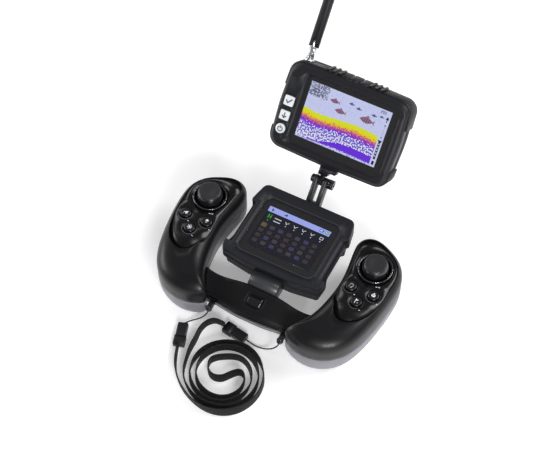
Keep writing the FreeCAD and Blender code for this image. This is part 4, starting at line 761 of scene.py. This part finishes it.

# ---------- thumb sticks: a knurled rim round each pad, and chrome lines on the well's rim as painted highlights ---


def circle(centre, radius):
    turns = [2 * math.pi * i / CIRCLE_STEPS for i in range(CIRCLE_STEPS)]
    return [centre + Vector((math.cos(a), math.sin(a), 0)) * radius * MM for a in turns]


KNURL = ((8.5, -0.95), (9.0, -0.75), (9.25, -0.2), (9.25, 0.25), (9.0, 0.7), (8.55, 0.92), (8.2, 0.84))
for side, sign in (("left", -1), ("right", 1)):
    c = at(sign * STICK_X, STICK_Y, STICK_Z + BALL_TOP)
    verts, faces = [], []
    n, k = 96, len(KNURL)
    for i in range(n):
        a = 2 * math.pi * i / n
        wave = 0.07 if i % 2 else 0.0
        verts += [c + Vector((math.cos(a) * (r + wave), math.sin(a) * (r + wave), h)) * MM for r, h in KNURL]
    for i in range(n):
        j = (i + 1) % n
        faces += [[i * k + q, j * k + q, j * k + q + 1, i * k + q + 1] for q in range(k - 1)]
        faces.append([i * k + k - 1, j * k + k - 1, j * k, i * k])
    add(side + "_stick_knurl", verts, faces, PAD, side + "_thumb_stick", smooth=True)
    rim = at(sign * STICK_X, STICK_Y, STICK_Z)
    # Two thin chrome rings round each well stand in for the highlights on the black glossy ring's edges:
    # painted highlights.
    tube(side + "_ring_highlight_line", circle(rim - Z * 0.22 * MM, 14.12), 0.20 * MM, HIGHLIGHT_CHROME, "remote",
         cyclic=True)
    tube(side + "_well_highlight_line", circle(rim - Z * 0.35 * MM, 13.3), 0.16 * MM, HIGHLIGHT_CHROME, "remote",
         cyclic=True)

# ---------- rubber faces and ribs of the finder's bumpers ----------


def outlined(points, reach):
    """Closed outline with each corner cut round, starting reach away from it."""
    out = []
    count = len(points)
    for i, (px, py) in enumerate(points):
        (ax, ay), (bx, by) = points[i - 1], points[(i + 1) % count]
        la, lb = math.hypot(ax - px, ay - py), math.hypot(bx - px, by - py)
        ra, rb = min(reach, 0.45 * la), min(reach, 0.45 * lb)
        sx, sy = px + (ax - px) / la * ra, py + (ay - py) / la * ra
        ex, ey = px + (bx - px) / lb * rb, py + (by - py) / lb * rb
        for k in range(CORNER_STEPS + 1):
            f = k / CORNER_STEPS
            out.append(((1 - f) ** 2 * sx + 2 * f * (1 - f) * px + f * f * ex,
                        (1 - f) ** 2 * sy + 2 * f * (1 - f) * py + f * f * ey))
    return out


SKIN = finder_plane(FIN_X, FIN_V, FINDER_FACE)
TOP_SKIN = [(-54.6, 21.3), (-47.5, 22.4), (-42.9, 28.9), (42.0, 28.9), (42.6, 21.3), (47.0, 22.2),
            (46.4, 26.5), (42.6, 31.6), (0.0, 32.4), (-49.4, 31.6), (-54.0, 26.5)]
LOW_SKIN = [(-54.8, -20.8), (-52.2, -20.8), (-52.2, -32.2), (-46.0, -33.0), (39.6, -33.0), (42.8, -26.2),
            (47.2, -24.2), (46.8, -30.0), (42.6, -35.4), (0.0, -36.3), (-49.4, -35.4), (-54.2, -30.0)]
for name, outline in (("finder_top_skin", TOP_SKIN), ("finder_low_skin", LOW_SKIN)):
    o = art(name, SKIN, [outlined(outline, 2.4)], RUBBER, "finder", thick=0.42, base=-0.05)
    mod = o.modifiers.new("bevel", "BEVEL")
    mod.width, mod.segments, mod.limit_method = 0.3 * MM, 2, "ANGLE"
TOP_EDGE = Plane(PIVOT + FIN_UP * (91.6 * MM) + X * (FIN_X * MM), X, FIN_OUT)
for k, rx in enumerate((-27.0, -22.0, -17.0, 11.0, 16.0, 21.0)):
    rib = rect(rx - 1.1, -12.0, rx + 1.1, 6.4, 0.8)
    art("finder_rib_%d" % k, TOP_EDGE, [rib], RUBBER, "finder", thick=0.8, base=-0.9)

# ---------- power button frame ----------
BUTTON_Y, BRIDGE_TOP_Z, BRIDGE_DROP, BRIDGE_RUN = -61.2, 31.0, 4.0, 18.4
BRIDGE_EDGE_Y = -51.4                # line where the bridge's roof starts to fall
slope = math.atan2(BRIDGE_DROP, BRIDGE_RUN)
frame_up = Vector((0, math.cos(slope), math.sin(slope)))
pb_z = BRIDGE_TOP_Z + (BUTTON_Y - BRIDGE_EDGE_Y) * math.tan(slope)
pb = Plane(at(0, BUTTON_Y, pb_z + 0.06), X, frame_up)
ring_shape(rect(-7.3, -5.1, 7.3, 5.1, 1.8, 6), rect(-6.6, -4.4, 6.6, 4.4, 1.4, 6), pb, PLATE, "remote",
           "power_button_frame", 0.28, base=-0.1)

# ---------- window lip on the remote's bezel ----------
bez = Plane(at(0, 0, FACE_Z), X, Y)
lip_outer, lip_inner = rect(-35.3, -30.2, 35.3, 28.4, 6.6, 8), rect(-34.72, -29.62, 34.72, 27.82, 6.2, 8)
ring_shape(lip_outer, lip_inner, bez, NECK, "remote", "remote_window_lip", 0.10, base=-0.04)

# ---------- stage ----------
FLOOR_LIFT = 0.30
floor_mat = surface("floor_white", (0.86, 0.86, 0.87), rough=0.7, grain=60, bump=0.003, spread=0.01)
# The floor is a paler white where it is seen or mirrored. Its shadows stay, and it lights nothing more.
tree = floor_mat.node_tree
rays = node(tree, "ShaderNodeLightPath").outputs
seen = node(tree, "ShaderNodeMath", {0: rays["Is Camera Ray"], 1: rays["Is Glossy Ray"]}, operation="MAXIMUM")
seen = node(tree, "ShaderNodeMath", {0: seen.outputs[0], 1: rays["Is Transmission Ray"]}, operation="MAXIMUM")
lift = node(tree, "ShaderNodeMath", {0: seen.outputs[0], 1: FLOOR_LIFT}, operation="MULTIPLY")
shader = tree.nodes["Principled BSDF"]
shader.inputs["Emission Color"].default_value = (1, 1, 1, 1)
tree.links.new(lift.outputs[0], shader.inputs["Emission Strength"])
floor = add("floor", [(-6, -6, 0), (6, -6, 0), (6, 6, 0), (-6, 6, 0)], [[0, 1, 2, 3]], floor_mat, None)
floor.location.z = -0.0002


def area(name, place, target, size, power):
    data = bpy.data.lights.new(name, "AREA")
    data.shape = "RECTANGLE"
    data.size, data.size_y = size
    data.energy = power
    o = bpy.data.objects.new(name, data)
    scene.collection.objects.link(o)
    o.location = place
    o.rotation_euler = (Vector(target) - Vector(place)).to_track_quat("-Z", "Y").to_euler()


area("back_right", (1.2, 1.0, 1.5), (0, 0, 0.03), (1.3, 1.3), 30)
area("front_right", (0.9, -1.15, 0.95), (0, 0, 0.05), (0.6, 0.5), 20)
area("left_low", (-1.5, -0.3, 0.55), (0, 0, 0.05), (0.9, 0.6), 12)
area("back_left", (-1.6, 1.1, 1.0), (0, 0, 0.03), (1.2, 0.8), 9)
world = bpy.data.worlds.new("world")
scene.world = world
world.use_nodes = True
back = world.node_tree.nodes["Background"]
back.inputs[0].default_value = (1.0, 1.0, 1.0, 1)
back.inputs[1].default_value = 0.2
scene.view_settings.view_transform = "Standard"
